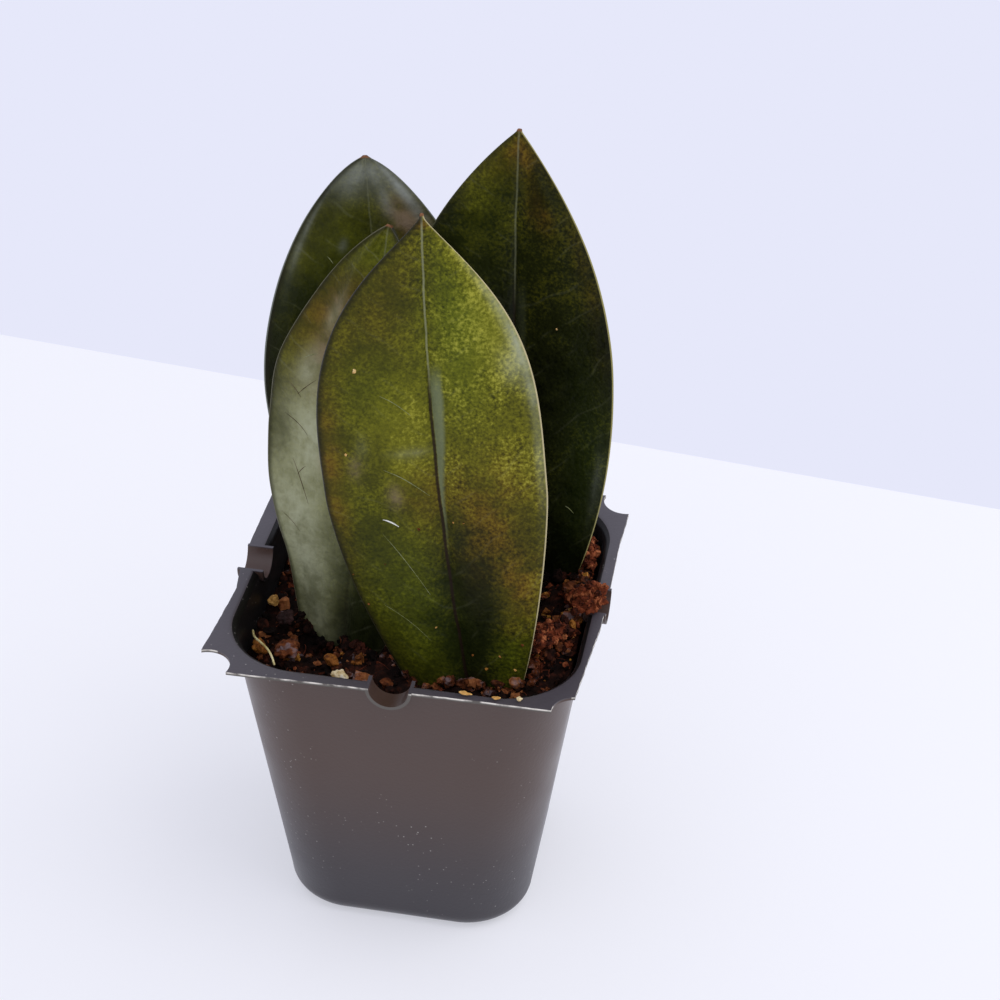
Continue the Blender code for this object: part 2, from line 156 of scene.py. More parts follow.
ahead = Vector((math.sin(CAMERA_YAW) * math.cos(CAMERA_DOWN),
                math.cos(CAMERA_YAW) * math.cos(CAMERA_DOWN), -math.sin(CAMERA_DOWN)))
level = Vector((math.cos(CAMERA_YAW), -math.sin(CAMERA_YAW), 0))
above = level.cross(ahead)
side_way = level * math.cos(CAMERA_ROLL) + above * math.sin(CAMERA_ROLL)
up_way = above * math.cos(CAMERA_ROLL) - level * math.sin(CAMERA_ROLL)
aim = Vector((0, 0, POT_HEIGHT)) + side_way * CAMERA_RIGHT + up_way * CAMERA_UP
lens = bpy.data.cameras.new("camera")
lens.sensor_width = 36
lens.lens = 90
lens.clip_start = 0.01
camera = bpy.data.objects.new("camera", lens)
bpy.context.scene.collection.objects.link(camera)
turn = Matrix((side_way, up_way, -ahead)).transposed()
camera.matrix_world = Matrix.Translation(aim - ahead * CAMERA_DISTANCE) @ turn.to_4x4()
bpy.context.scene.camera = camera
bpy.context.scene.view_settings.view_transform = "Standard"

# ---------------------------------------------------------------- pot
# A square nursery pot of thin charcoal polypropylene sheet, drawn down into a mould by vacuum.
# Its flange was snapped out of a tray of pots, so the edges are ragged and whitened where they
# tore, with a scallop at each corner and a half-round trough in the middle of each side.

WALL = 0.6 * MM
BASE_SIDE = 45.5 * MM
BASE_CORNER = 12.5 * MM
FOOT_RADIUS = 4 * MM
TOP_SIDE = 62.3 * MM
TOP_CORNER = 13.5 * MM
LIP_RADIUS = 1.0 * MM
ROUND_POINTS = 240
FOOT_STEPS, WALL_STEPS, LIP_STEPS = 8, 12, 4
# Slight waves in the thin wall: their depth, the height where they are full, and how many
WALL_WAVE = 0.10 * MM
WAVE_FULL_AT = 20 * MM
WAVES_ROUND = 3
WAVES_PER_METRE_UP = 40
# Ragged snapped edge: its depth, then (waves round, noise layer, share) of each set of teeth
EDGE_TEAR = 0.10 * MM
EDGE_TEETH = [(34, 0, 1.0), (90, 4, 0.6)]
SCALLOP_PLACE = 32.5 * MM
SCALLOP_RADIUS = 4.2 * MM
SCALLOP_TURN = math.radians(1.3)
TROUGH_RADIUS = 4.1 * MM
TROUGH_START = 29.6 * MM
TROUGH_END = {"right": 33.7 * MM, "back": 33.7 * MM, "left": 34.4 * MM, "front": 33.3 * MM}
DRAIN_RADIUS = 3 * MM
DRAIN_PLACE = 12.5 * MM
DRAIN_POINTS = 40
CUTTER_DEPTH = 4 * MM
CUTTER_SPARE = 2 * MM
# The flange's snapped edges in mm: (place along the side, distance from the centre). The walk
# that finds an edge starts from a near value.
FLANGE_NEARLY = 34 * MM
FLANGE_EDGES = {
    "front": [(-28, 33.9), (-15, 33.6), (0, 33.2), (15, 32.8), (28, 32.7)],
    "right": [(-28, 31.8), (-19, 32.4), (-8, 33.3), (3, 33.4), (18, 33.2), (28, 33.6)],
    "back": [(-28, 33.7), (-10, 33.9), (6, 33.5), (28, 33.8)],
    "left": [(-28, 34.0), (-13, 34.2), (2, 34.2), (10, 33.0), (20, 33.6), (28, 34.3)],
}


def smooth_step(value):
    """Ease a value from 0 to 1."""
    value = min(max(value, 0.0), 1.0)
    return value * value * (3 - 2 * value)


def along(stations, value):
    """Read a list of (place, size) stations at a value, straight between them."""
    if value <= stations[0][0]:
        return stations[0][1]
    for (x0, y0), (x1, y1) in zip(stations, stations[1:]):
        if value <= x1:
            return y0 + (y1 - y0) * (value - x0) / (x1 - x0)
    return stations[-1][1]


def square_reach(angle, side, corner):
    """Distance from the centre to a square with round corners, along an angle."""
    turned = (angle + math.pi / 4) % (math.pi / 2) - math.pi / 4
    half = side / 2
    inner = half - corner
    flat = half / math.cos(turned)
    if abs(flat * math.sin(turned)) <= inner:
        return flat
    middle = Vector((inner, math.copysign(inner, turned)))
    way = Vector((math.cos(turned), math.sin(turned)))
    near = middle.dot(way)
    return near + math.sqrt(max(near * near - middle.length_squared + corner * corner, 0))


def flange_reach(angle):
    """Distance from the centre to the flange's snapped edge, along an angle."""
    x, y = math.cos(angle), math.sin(angle)
    reach = FLANGE_NEARLY
    for _ in range(3):
        at = (reach * x / MM, reach * y / MM)
        edge_x = along(FLANGE_EDGES["right" if x > 0 else "left"], at[1] if x > 0 else -at[1])
        edge_y = along(FLANGE_EDGES["back" if y > 0 else "front"], -at[0] if y > 0 else at[0])
        reach = min(edge_x / max(abs(x), 1e-6), edge_y / max(abs(y), 1e-6)) * MM
    tear = sum(share * noise.noise(Vector((x, y, layer)) * waves)
               for waves, layer, share in EDGE_TEETH)
    return reach + EDGE_TEAR * tear


def wall_at(z):
    """Side and corner radius of the tapered wall at a height."""
    share = z / POT_HEIGHT
    return (BASE_SIDE + (TOP_SIDE - BASE_SIDE) * share,
            BASE_CORNER + (TOP_CORNER - BASE_CORNER) * share)


def pot_rings():
    """The outer surface as rings, from the foot up: each a side, a corner radius and a height."""
    rings = []
    foot_side, foot_corner = wall_at(FOOT_RADIUS)
    for i in range(FOOT_STEPS + 1):
        angle = math.radians(90) * i / FOOT_STEPS
        inset = FOOT_RADIUS * (1 - math.sin(angle))
        rings.append((foot_side - 2 * inset, foot_corner - inset,
                      FOOT_RADIUS * (1 - math.cos(angle))))
    lip_z = POT_HEIGHT - WALL - LIP_RADIUS
    for i in range(1, WALL_STEPS + 1):
        z = FOOT_RADIUS + (lip_z - FOOT_RADIUS) * i / WALL_STEPS
        rings.append((*wall_at(z), z))
    lip_side, lip_corner = wall_at(lip_z)
    for i in range(1, LIP_STEPS + 1):
        angle = math.radians(90) * i / LIP_STEPS
        outset = LIP_RADIUS * (1 - math.cos(angle))
        rings.append((lip_side + 2 * outset, lip_corner + outset,
                      lip_z + LIP_RADIUS * math.sin(angle)))
    return rings


def wall_wave(angle, z):
    """How far the thin wall waves out or in at a place; the stiff foot stays true."""
    place = Vector((math.cos(angle) * WAVES_ROUND, math.sin(angle) * WAVES_ROUND,
                    z * WAVES_PER_METRE_UP))
    return WALL_WAVE * min(z / WAVE_FULL_AT, 1) * noise.noise(place)


def place_ring(mesh, chosen, reach_of, z):
    """Move the chosen vertices out to a ring, each along its own angle."""
    for index in chosen:
        vert = mesh.vertices[index]
        angle = math.atan2(vert.co.y, vert.co.x)
        reach = reach_of(angle)
        vert.co = (reach * math.cos(angle), reach * math.sin(angle), z)


def pick(obj):
    """Select one object alone and make it the active one."""
    deselect_all()
    obj.select_set(True)
    bpy.context.view_layer.objects.active = obj


def edit_all(obj, *steps):
    """Run edit-mode steps on a mesh with all of it selected."""
    pick(obj)
    bpy.ops.object.mode_set(mode="EDIT")
    bpy.ops.mesh.select_all(action="SELECT")
    for step in steps:
        step()
    bpy.ops.object.mode_set(mode="OBJECT")


def face_outwards():
    bpy.ops.mesh.normals_make_consistent(inside=False)


def extrude_rim(obj):
    """Extrude the open rim of a shell and return the new rim's vertices."""
    bpy.ops.object.mode_set(mode="EDIT")
    bpy.ops.mesh.extrude_edges_move()
    bpy.ops.object.mode_set(mode="OBJECT")
    return [vert.index for vert in obj.data.vertices if vert.select]


def apply_all(obj):
    """Apply every modifier of an object."""
    pick(obj)
    for modifier in list(obj.modifiers):
        bpy.ops.object.modifier_apply(modifier=modifier.name)


def cut_with(obj, cutter, operation):
    """Cut or join a shape with another, then remove the tool."""
    modifier = obj.modifiers.new("cut", "BOOLEAN")
    modifier.object = cutter
    modifier.operation = operation
    apply_all(obj)
    bpy.data.objects.remove(cutter, do_unlink=True)


def cylinder(radius, depth, place, turn=(0, 0, 0), vertices=64):
    deselect_all()
    bpy.ops.mesh.primitive_cylinder_add(vertices=vertices, radius=radius, depth=depth,
                                        location=place, rotation=turn)
    return bpy.context.object


def trough_cylinder(quarter, radius, start, end):
    """A cylinder that lies across the flange at the middle of a side, level with its top."""
    turn = math.radians(90 * quarter)
    middle = (start + end) / 2
    return cylinder(radius, end - start,
                    (middle * math.cos(turn), middle * math.sin(turn), POT_HEIGHT),
                    (0, math.radians(90), turn))


deselect_all()
first_side = pot_rings()[0][0]
bpy.ops.mesh.primitive_circle_add(vertices=ROUND_POINTS, radius=first_side / 2,
                                  fill_type="NGON")
pot = bpy.context.object
pot.name = "nursery_pot"
rim = [vert.index for vert in pot.data.vertices]
for count, (side, corner, z) in enumerate(pot_rings()):
    if count:
        rim = extrude_rim(pot)
    place_ring(pot.data, rim,
               lambda angle: square_reach(angle, side, corner) + wall_wave(angle, z), z)
    if count == 0:
        edit_all(pot, bpy.ops.mesh.region_to_loop)
rim = extrude_rim(pot)
place_ring(pot.data, rim, flange_reach, POT_HEIGHT - WALL)
edit_all(pot, face_outwards)
if max(pot.data.polygons, key=lambda face: face.area).normal.z > 0:
    edit_all(pot, bpy.ops.mesh.flip_normals)
shell = pot.modifiers.new("wall", "SOLIDIFY")
shell.thickness = WALL
shell.offset = -1
shell.use_even_offset = True
apply_all(pot)

for quarter, end in enumerate(TROUGH_END.values()):
    blank = trough_cylinder(quarter, TROUGH_RADIUS, TROUGH_START, end)
    edit_all(blank, lambda: bpy.ops.mesh.bisect(plane_co=(0, 0, POT_HEIGHT), plane_no=(0, 0, 1),
                                                use_fill=True, clear_outer=True))
    cut_with(pot, blank, "UNION")
for side_x in (-1, 1):
    for side_y in (-1, 1):
        cut_with(pot, cylinder(SCALLOP_RADIUS, CUTTER_DEPTH,
                               (side_x * SCALLOP_PLACE, side_y * SCALLOP_PLACE, POT_HEIGHT),
                               (0, 0, SCALLOP_TURN)), "DIFFERENCE")
for quarter, end in enumerate(TROUGH_END.values()):
    cut_with(pot, trough_cylinder(quarter, TROUGH_RADIUS - WALL, TROUGH_START - CUTTER_SPARE,
                                  end + CUTTER_SPARE), "DIFFERENCE")
drain_places = [(0, 0)] + [(x * DRAIN_PLACE, y * DRAIN_PLACE) for x in (-1, 1) for y in (-1, 1)]
for x, y in drain_places:
    cut_with(pot, cylinder(DRAIN_RADIUS, CUTTER_DEPTH, (x, y, 0), vertices=DRAIN_POINTS),
             "DIFFERENCE")

# Vacuum-formed polypropylene: satin charcoal, dusty from handling, with pale torn edges. Painted
# light makes it brown high up where light rakes it and paler grey on the flange, and painted shade
# makes it near black inside.
# The upper and flange tones are painted light on the one charcoal sheet, the inside tone painted
# shade
POT_UPPER_PAINTED_LIGHT = "#47342B"
POT_LOWER = "#312D31"
POT_FLANGE_PAINTED_LIGHT = "#464145"
POT_INSIDE_PAINTED_SHADE = "#0F0C0A"
POT_DUST = "#B9B4AC"
TORN_DARK = "#5A554E"
TORN_PALE = "#E6E0D2"
HANDLING_SHEEN = "#D8DCE8"
DUST_CELL_MM = 1.3
GRAIN_CELL_MM = 0.6
HAZE_SCALE = 60.0  # patches of dust about 17 mm across
STREAK_SCALE = 420.0  # ragged white streaks about 2.4 mm long
# The wall's tone changes from its lower one to its painted light higher up between these heights
TONE_LOWEST = 4 * MM
TONE_HIGHEST = 45 * MM

SMOOTHLY = {"interpolation_type": "SMOOTHSTEP"}
COLOUR = {"data_type": "RGBA"}
PLUS, LESS, TIMES, BARE, SINE, MORE_THAN = [
    {"operation": name}
    for name in ("ADD", "SUBTRACT", "MULTIPLY", "ABSOLUTE", "SINE", "GREATER_THAN")]


def pot_plastic(name, top, upper, lower, shine):
    """A face of the sheet: its tone low down, with painted light high up and on the flange, under
    patchy dust.
    """
    material, tree, shader = new_material(name)
    add = functools.partial(add_node, tree)
    place = add("TexCoord", {}, give="Object")
    height = add("SeparateXYZ", {}, place, give="Z")
    rise = add("MapRange", SMOOTHLY, height, TONE_LOWEST, TONE_HIGHEST)
    body = add("Mix", COLOUR, rise, lower, upper)
    at_top = add("MapRange", {}, height, POT_HEIGHT - 0.5 * WALL, POT_HEIGHT - 0.1 * WALL)
    flange = add("Mix", COLOUR, at_top, body, top)
    haze = add("TexNoise", {}, place, Scale=HAZE_SCALE, Detail=3.0)
    spots = add("TexVoronoi", {}, place, Scale=1000 / DUST_CELL_MM)
    keep = add("MapRange", {}, spots, 0.05, 0.14, 1.0, 0.0)
    patch = add("MapRange", {}, haze, 0.50, 0.66, 0.0, 0.75)
    coat = add("Mix", COLOUR, add("Math", TIMES, keep, patch), flange, POT_DUST)
    gloss = add("MapRange", {}, haze, 0.3, 0.7, 0.30, 0.44)
    grain = add("TexNoise", {}, place, Scale=1000 / GRAIN_CELL_MM, Detail=2.0)
    bump = add("Bump", {}, Height=grain, Strength=0.15, Distance=0.2 * MM)
    set_inputs(shader, Base_Color=coat, Roughness=gloss, Normal=bump, IOR=1.49,
               Specular_IOR_Level=shine, Sheen_Weight=0.15 * shine, Sheen_Roughness=0.45,
               Sheen_Tint=HANDLING_SHEEN)
    return material


def torn_plastic():
    """Snapped edge of the sheet: stress-whitened, rough and paler than its faces."""
    material, tree, shader = new_material("torn_polypropylene_edge")
    add = functools.partial(add_node, tree)
    place = add("TexCoord", {}, give="Object")
    height = add("SeparateXYZ", {}, place, give="Z")
    burr = add("MapRange", {}, height, POT_HEIGHT - 0.7 * WALL, POT_HEIGHT - 0.3 * WALL)
    streak = add("TexNoise", {}, place, Scale=STREAK_SCALE, Detail=4.0)
    ragged = add("MapRange", {}, streak, 0.36, 0.56)
    tone = add("Mix", COLOUR, add("Math", TIMES, burr, ragged), TORN_DARK, TORN_PALE)
    set_inputs(shader, Base_Color=tone, Roughness=0.7)
    return material


pot.data.materials.append(pot_plastic("vacuum_formed_polypropylene", POT_FLANGE_PAINTED_LIGHT, POT_UPPER_PAINTED_LIGHT,
                                      POT_LOWER, 0.5))
pot.data.materials.append(torn_plastic())
# Inside the pot the wall is painted near black: painted shade below the rim
pot.data.materials.append(pot_plastic("pot_inside_painted_shade", POT_INSIDE_PAINTED_SHADE, POT_INSIDE_PAINTED_SHADE,
                                      POT_INSIDE_PAINTED_SHADE, 0.15))
OUTER, TORN, INSIDE = range(3)
# Which faces are torn: high up, upright, far from the centre and facing out or in a scallop
TORN_WITHIN = 5 * MM
TORN_BEYOND = 31.2 * MM
UPRIGHT = 0.5
FACING_OUT = 0.3
FACING_IN = -0.2
for polygon in pot.data.polygons:
    centre, normal = polygon.center, polygon.normal
    reach = Vector(centre[:2])
    faces_out = reach.normalized().dot(Vector(normal[:2])) if reach.length else 0
    at_edge = (centre.z > POT_HEIGHT - TORN_WITHIN and abs(normal.z) < UPRIGHT
               and max(abs(centre.x), abs(centre.y)) > TORN_BEYOND)
    in_trough = min(abs(centre.x), abs(centre.y)) < TROUGH_RADIUS
    near_scallop = math.hypot(abs(centre.x) - SCALLOP_PLACE,
                              abs(centre.y) - SCALLOP_PLACE) < SCALLOP_RADIUS * 1.05
    if at_edge and (near_scallop or faces_out > FACING_OUT) and (
            centre.z > POT_HEIGHT - 1.05 * WALL or in_trough):
        polygon.material_index = TORN
    elif faces_out < FACING_IN and centre.z < POT_HEIGHT - WALL / 4 and not near_scallop:
        polygon.material_index = INSIDE
pick(pot)
bpy.ops.object.shade_smooth_by_angle(angle=math.radians(35))
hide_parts("pot")
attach(pot, "root")

# ---------------------------------------------------------------- leaves
# Four thick, waxy zz leaves, each one grown blade that runs down into the soil. The blade is
# folded a little along its midrib, has a rounded rim, a dry pointed tip and a raised rib behind.

BURIED_Z = 42 * MM
STALK_HALF = 2 * MM
TIP_HALF = 0.35 * MM
MARGIN_THICK = 0.55 * MM
BLADE_THICK = 1.15 * MM
RIB_EXTRA = 0.7 * MM
COLUMNS = 60
ROWS = 110
ROW_CROWDING = (0.55, 0.45)  # how much of the spacing is crowded, and how much is even
LEAVES = {
    "leaf_front": dict(place=(14.0, -18.7), az=-1.6, twist=15.5, lean=2.3, bend=-3.6,
                       side=-11.5, sweep=10.3, length=107.6, width=38.2, wide=0.50,
                       tip=(3.48, 1.26), foot=(1.35, 0.54), fold=3.6, uneven=-0.03,
                       puff=0.7, groove=0.5, wave=0.22, waves=3.3, phase=0.4, curl=0.5,
                       lumps=0.2),
    "leaf_back_right": dict(place=(18.9, 11.0), az=2.3, twist=-5.6, lean=1.6, bend=1.5,
                            side=-7.6, sweep=7.8, length=106.8, width=39.9, wide=0.56,
                            tip=(2.06, 0.95), foot=(2.1, 0.94), fold=6.2, uneven=0.10,
                            puff=0.5, groove=0.45, wave=0.25, waves=2.7, phase=1.9, curl=0.3,
                            lumps=0.25),
    "leaf_back_left": dict(place=(-10.2, 17.0), az=9.4, twist=-2.2, lean=0.6, bend=1.3,
                           side=-0.7, sweep=-4.3, length=97.0, width=42.6, wide=0.53,
                           tip=(1.86, 0.70), foot=(1.96, 0.90), fold=6.1, uneven=-0.01,
                           puff=0.7, groove=0.4, wave=0.35, waves=2.9, phase=3.0, curl=0.5,
                           lumps=0.4),
    "leaf_left": dict(place=(-14.9, -9.0), az=-28.8, twist=6.0, lean=6.7, bend=6.8,
                      side=1.8, sweep=-4.1, length=92.4, width=41.0, wide=0.54,
                      tip=(1.98, 0.86), foot=(1.40, 0.74), fold=4.9, uneven=-0.02,
                      puff=0.7, groove=0.4, wave=0.45, waves=3.6, phase=5.1, curl=0.0,
                      lumps=1.1),
}
# Lightness at places on each blade, the skin's own with painted shade and light in it, such as
# where one leaf shades another:
# (across -1..1, up 0..1, lightness 0..1)
LIGHTNESS_WITH_PAINTED_SHADE = {
    "leaf_front": [
        (0, 0.95, 0.46), (-0.4, 0.88, 0.43), (0.35, 0.87, 0.57), (0.7, 0.79, 0.84),
        (-0.65, 0.77, 0.43), (-0.3, 0.76, 0.52), (0.2, 0.76, 0.62), (-0.4, 0.66, 0.62),
        (-0.15, 0.60, 0.72), (0.35, 0.66, 0.66), (0.8, 0.66, 0.62), (0.55, 0.60, 0.60),
        (-0.8, 0.60, 0.48), (-0.65, 0.52, 0.48), (0.12, 0.51, 0.47), (0.85, 0.50, 0.56),
        (-0.25, 0.46, 0.48), (0.6, 0.44, 0.43), (-0.4, 0.36, 0.42), (0.2, 0.40, 0.22),
        (-0.8, 0.36, 0.40), (0.2, 0.30, 0.0), (0.7, 0.31, 0.47), (0.95, 0.30, 0.50),
        (-0.5, 0.22, 0.43), (-0.1, 0.22, 0.28), (0.25, 0.20, 0.02), (0.75, 0.21, 0.46),
        (0, 0.14, 0.08), (0.5, 0.16, 0.34), (-0.5, 0.14, 0.34), (0.9, 0.15, 0.42)],
    "leaf_back_right": [
        (0, 0.96, 0.42), (-0.55, 0.88, 0.42), (-0.2, 0.86, 0.30), (0.5, 0.84, 0.28),
        (0.05, 0.74, 0.24), (-0.75, 0.77, 0.17), (-0.3, 0.68, 0.15), (0.65, 0.67, 0.18),
        (0.85, 0.80, 0.24), (0.2, 0.52, 0.10), (0.7, 0.50, 0.12), (0.8, 0.40, 0.24),
        (0.6, 0.33, 0.16), (0.4, 0.25, 0.05), (0, 0.15, 0.03), (-0.6, 0.45, 0.15)],
    "leaf_back_left": [
        (0, 0.95, 0.50), (-0.45, 0.84, 0.37), (-0.2, 0.82, 0.35), (0.5, 0.82, 0.44),
        (-0.6, 0.68, 0.22), (-0.7, 0.55, 0.18), (0.2, 0.60, 0.20), (0, 0.35, 0.16),
        (0, 0.12, 0.10)],
    "leaf_left": [
        (0, 0.95, 0.52), (-0.4, 0.86, 0.46), (0.2, 0.84, 0.40), (-0.2, 0.74, 0.52),
        (-0.5, 0.60, 0.66), (-0.3, 0.48, 0.58), (0.4, 0.55, 0.28), (0.5, 0.35, 0.24),
        (-0.4, 0.30, 0.52), (-0.4, 0.18, 0.40), (0.3, 0.18, 0.06), (0, 0.05, 0.10),
        (0.1, 0.30, 0.32), (-1.0, 0.60, 0.42)],
}
# Tints over that: (across, up, reach across, reach up, amount). Brown, green and buff are the
# skin's own colour; the sheen tint is painted sheen and reflection
TINTS = {
    "leaf_front": {
        "brown": [(0.45, 0.45, 0.45, 0.12, 0.5), (-0.93, 0.56, 0.12, 0.14, 0.6),
                  (-0.55, 0.84, 0.5, 0.12, 0.15), (0.75, 0.31, 0.25, 0.08, 0.5),
                  (-0.15, 0.50, 0.2, 0.05, 0.3), (0, 0.985, 1.0, 0.008, 0.7)],
        "bloom": [(0.93, 0.80, 0.07, 0.09, 0.75), (0.97, 0.66, 0.05, 0.16, 0.6),
                  (0.80, 0.74, 0.10, 0.03, 0.35), (-0.2, 0.585, 0.16, 0.008, 0.3),
                  (-0.62, 0.60, 0.05, 0.02, 0.15)],
        "green": [(-0.3, 0.28, 0.6, 0.2, 0.6), (0.4, 0.85, 0.5, 0.10, 0.6),
                  (-0.5, 0.72, 0.4, 0.08, 0.35),
                  (0.7, 0.19, 0.3, 0.06, 0.7), (0.3, 0.72, 0.3, 0.1, 0.4)],
        "buff": [(-0.68, 0.56, 0.06, 0.02, 0.5), (-0.38, 0.505, 0.06, 0.02, 0.5)],
    },
    "leaf_back_right": {
        "brown": [(0.1, 0.96, 0.8, 0.04, 0.6), (0.42, 0.875, 0.2, 0.04, 0.8),
                  (0.9, 0.72, 0.12, 0.15, 0.2)],
        "bloom": [(-0.5, 0.70, 0.25, 0.008, 0.16), (-0.12, 0.56, 0.06, 0.05, 0.2),
                  (0.9, 0.36, 0.05, 0.06, 0.3)],
        "green": [(-0.4, 0.82, 0.5, 0.15, 0.3), (0.8, 0.42, 0.3, 0.2, 0.8)],
        "buff": [],
    },
    "leaf_back_left": {
        "brown": [(0.62, 0.87, 0.28, 0.05, 0.6)],
        "bloom": [(0.0, 0.97, 0.9, 0.04, 0.6), (0.80, 0.92, 0.14, 0.07, 0.7),
                  (0.35, 0.91, 0.12, 0.03, 0.35), (-0.90, 0.86, 0.05, 0.09, 0.35),
                  (-0.35, 0.83, 0.05, 0.012, 0.3)],
        "green": [(-0.2, 0.75, 0.7, 0.15, 0.5)],
        "buff": [(0.55, 0.875, 0.22, 0.035, 1.0), (0.75, 0.80, 0.15, 0.04, 0.6)],
    },
    "leaf_left": {
        "brown": [(-0.25, 0.80, 0.7, 0.07, 0.8), (-0.35, 0.66, 0.3, 0.05, 0.6),
                  (0.15, 0.52, 0.1, 0.14, 0.7)],
        "bloom": [(-0.50, 0.55, 0.34, 0.10, 1.0), (-0.75, 0.38, 0.5, 0.10, 0.85),
                  (-0.6, 0.24, 0.42, 0.10, 0.75), (-0.62, 0.68, 0.12, 0.04, 0.7),
                  (-0.55, 0.80, 0.10, 0.04, 0.5), (-0.5, 0.14, 0.4, 0.05, 0.3)],
        "green": [(0.0, 0.94, 0.8, 0.05, 0.5), (0, 0.3, 0.9, 0.2, 0.3)],
        "buff": [(-0.45, 0.72, 0.18, 0.035, 0.9), (-0.25, 0.60, 0.10, 0.06, 0.8),
                 (-0.30, 0.50, 0.10, 0.02, 0.6), (-0.6, 0.83, 0.12, 0.02, 0.6),
                 (-0.18, 0.46, 0.05, 0.05, 0.7)],
    },
}
SKIN_MARKS = ("rib_mm", "edge_mm", "up", "light", "brown", "bloom", "green", "buff")
# How far a station counts, as shares of the half width and of the length
FIELD_ACROSS = 0.28
FIELD_UP = 0.075


def half_width(leaf, s):
    """Half width at a share of the length: two power curves that meet where it is widest."""
    wide = leaf["wide"]
    if s >= wide:
        m, n = leaf["tip"]
        share = (s - wide) / (1 - wide)
    else:
        m, n = leaf["foot"]
        share = (wide - s) / wide
    half = 0.5 * leaf["width"] * MM * (1 - share ** m) ** n
    return max(half, TIP_HALF if s >= wide else STALK_HALF)


def blade_axes(leaf, s):
    """Directions at a share of the length: along the midrib, across, and out of the face."""
    back = math.radians(leaf["lean"] + leaf["bend"] * s)
    side = math.radians(leaf["side"] + leaf["sweep"] * s)
    turn = math.radians(leaf["az"] + leaf["twist"] * s)
    face = Vector((math.sin(turn), -math.cos(turn), 0))
    right = Vector((math.cos(turn), math.sin(turn), 0))
    up = Vector((0, 0, 1))
    rising = up * math.cos(back) - face * math.sin(back)
    normal = face * math.cos(back) + up * math.sin(back)
    return (rising * math.cos(side) + right * math.sin(side),
            right * math.cos(side) - rising * math.sin(side), normal)


def row_share(share):
    """Rows stand closer together towards the tip."""
    return ROW_CROWDING[0] * math.sin(math.radians(90) * share) + ROW_CROWDING[1] * share


def midrib_rows(leaf):
    """Walk up the midrib and give its point at each row."""
    point = Vector((leaf["place"][0] * MM, leaf["place"][1] * MM, BURIED_Z))
    points = [point.copy()]
    for row in range(ROWS):
        low = row_share(row / ROWS)
        high = row_share((row + 1) / ROWS)
        tangent, _, _ = blade_axes(leaf, (low + high) / 2)
        point += tangent * (high - low) * leaf["length"] * MM
        points.append(point.copy())
    return points


# The midrib's channel in mm: half width low down, what it loses, where it narrows and over what
GROOVE_HALF, GROOVE_LOSS, GROOVE_NARROWS, GROOVE_OVER = 1.5, 1.2, 0.35, 0.45
FULL_RELIEF_HALF = 8 * MM  # the face is flatter where the blade is narrower than this
WAVE_LAG = 1.3  # the right half's waves come after the left half's
VEIN_PITCH_MM = 6.5
VEIN_SLANT = 0.75
VEIN_RELIEF_MM = 0.03
# Uneven lumps: (waves across, waves up, noise layer, share) of the large and the small ones
LUMPS = [(2.2, 6, 2, 1.0), (6, 13, 3, 0.3)]


def groove_width(s):
    """Half width of the midrib's channel on the face: broad low down, a line near the tip."""
    return (GROOVE_HALF - GROOVE_LOSS * smooth_step((s - GROOVE_NARROWS) / GROOVE_OVER)) * MM


def surface_point(leaf, across, s, midrib_point):
    """A point on the blade's face, its distance from the midrib and the half width there."""
    half = half_width(leaf, s)
    _, lateral, normal = blade_axes(leaf, s)
    share = abs(across)
    width = half * share * (1 - math.copysign(leaf["uneven"], across))
    fold = math.radians(leaf["fold"])
    broad = min(half / FULL_RELIEF_HALF, 1)
    lift = leaf["puff"] * math.sin(math.pi * share ** 0.8) - leaf["curl"] * share ** 5
    lift += leaf["wave"] * share ** 2 * math.sin(
        2 * math.pi * leaf["waves"] * s + leaf["phase"] + (WAVE_LAG if across > 0 else 0))
    lift -= (leaf["groove"] * math.exp(-(width / groove_width(s)) ** 2)
             * (1 - smooth_step((s - 0.7) / 0.25)))
    vein = math.sin(2 * math.pi * (s * leaf["length"] - VEIN_SLANT * width / MM)
                    / VEIN_PITCH_MM)
    lift += VEIN_RELIEF_MM * vein * math.sin(math.pi * share)
    seed = leaf["phase"]
    for waves_across, waves_up, layer, part in LUMPS:
        place = Vector((across * waves_across + seed, s * waves_up, seed * layer))
        lift += part * leaf["lumps"] * noise.noise(place)
    point = (midrib_point + lateral * math.copysign(width * math.cos(fold), across)
             + normal * (width * math.sin(fold) + lift * MM * broad))
    return point, width, half


def lightness_at(stations, across, up):
    """Lightness between the stations: each counts for more the nearer it is."""
    total = weight = 0
    for a, u, value in stations:
        far = ((across - a) / FIELD_ACROSS) ** 2 + ((up - u) / FIELD_UP) ** 2
        near = math.exp(-far) + 0.001 / (0.2 + far)
        total += near * value
        weight += near
    return total / weight


def tint_at(patches, across, up):
    """Strength of a tint: the sum of its soft oval patches."""
    return sum(amount * math.exp(-((across - a) / ra) ** 2 - ((up - u) / ru) ** 2)
               for a, u, ra, ru, amount in patches)


RIB_HALF = 1.1 * MM
CROWDED = 0.6  # columns stand closer together near the midrib


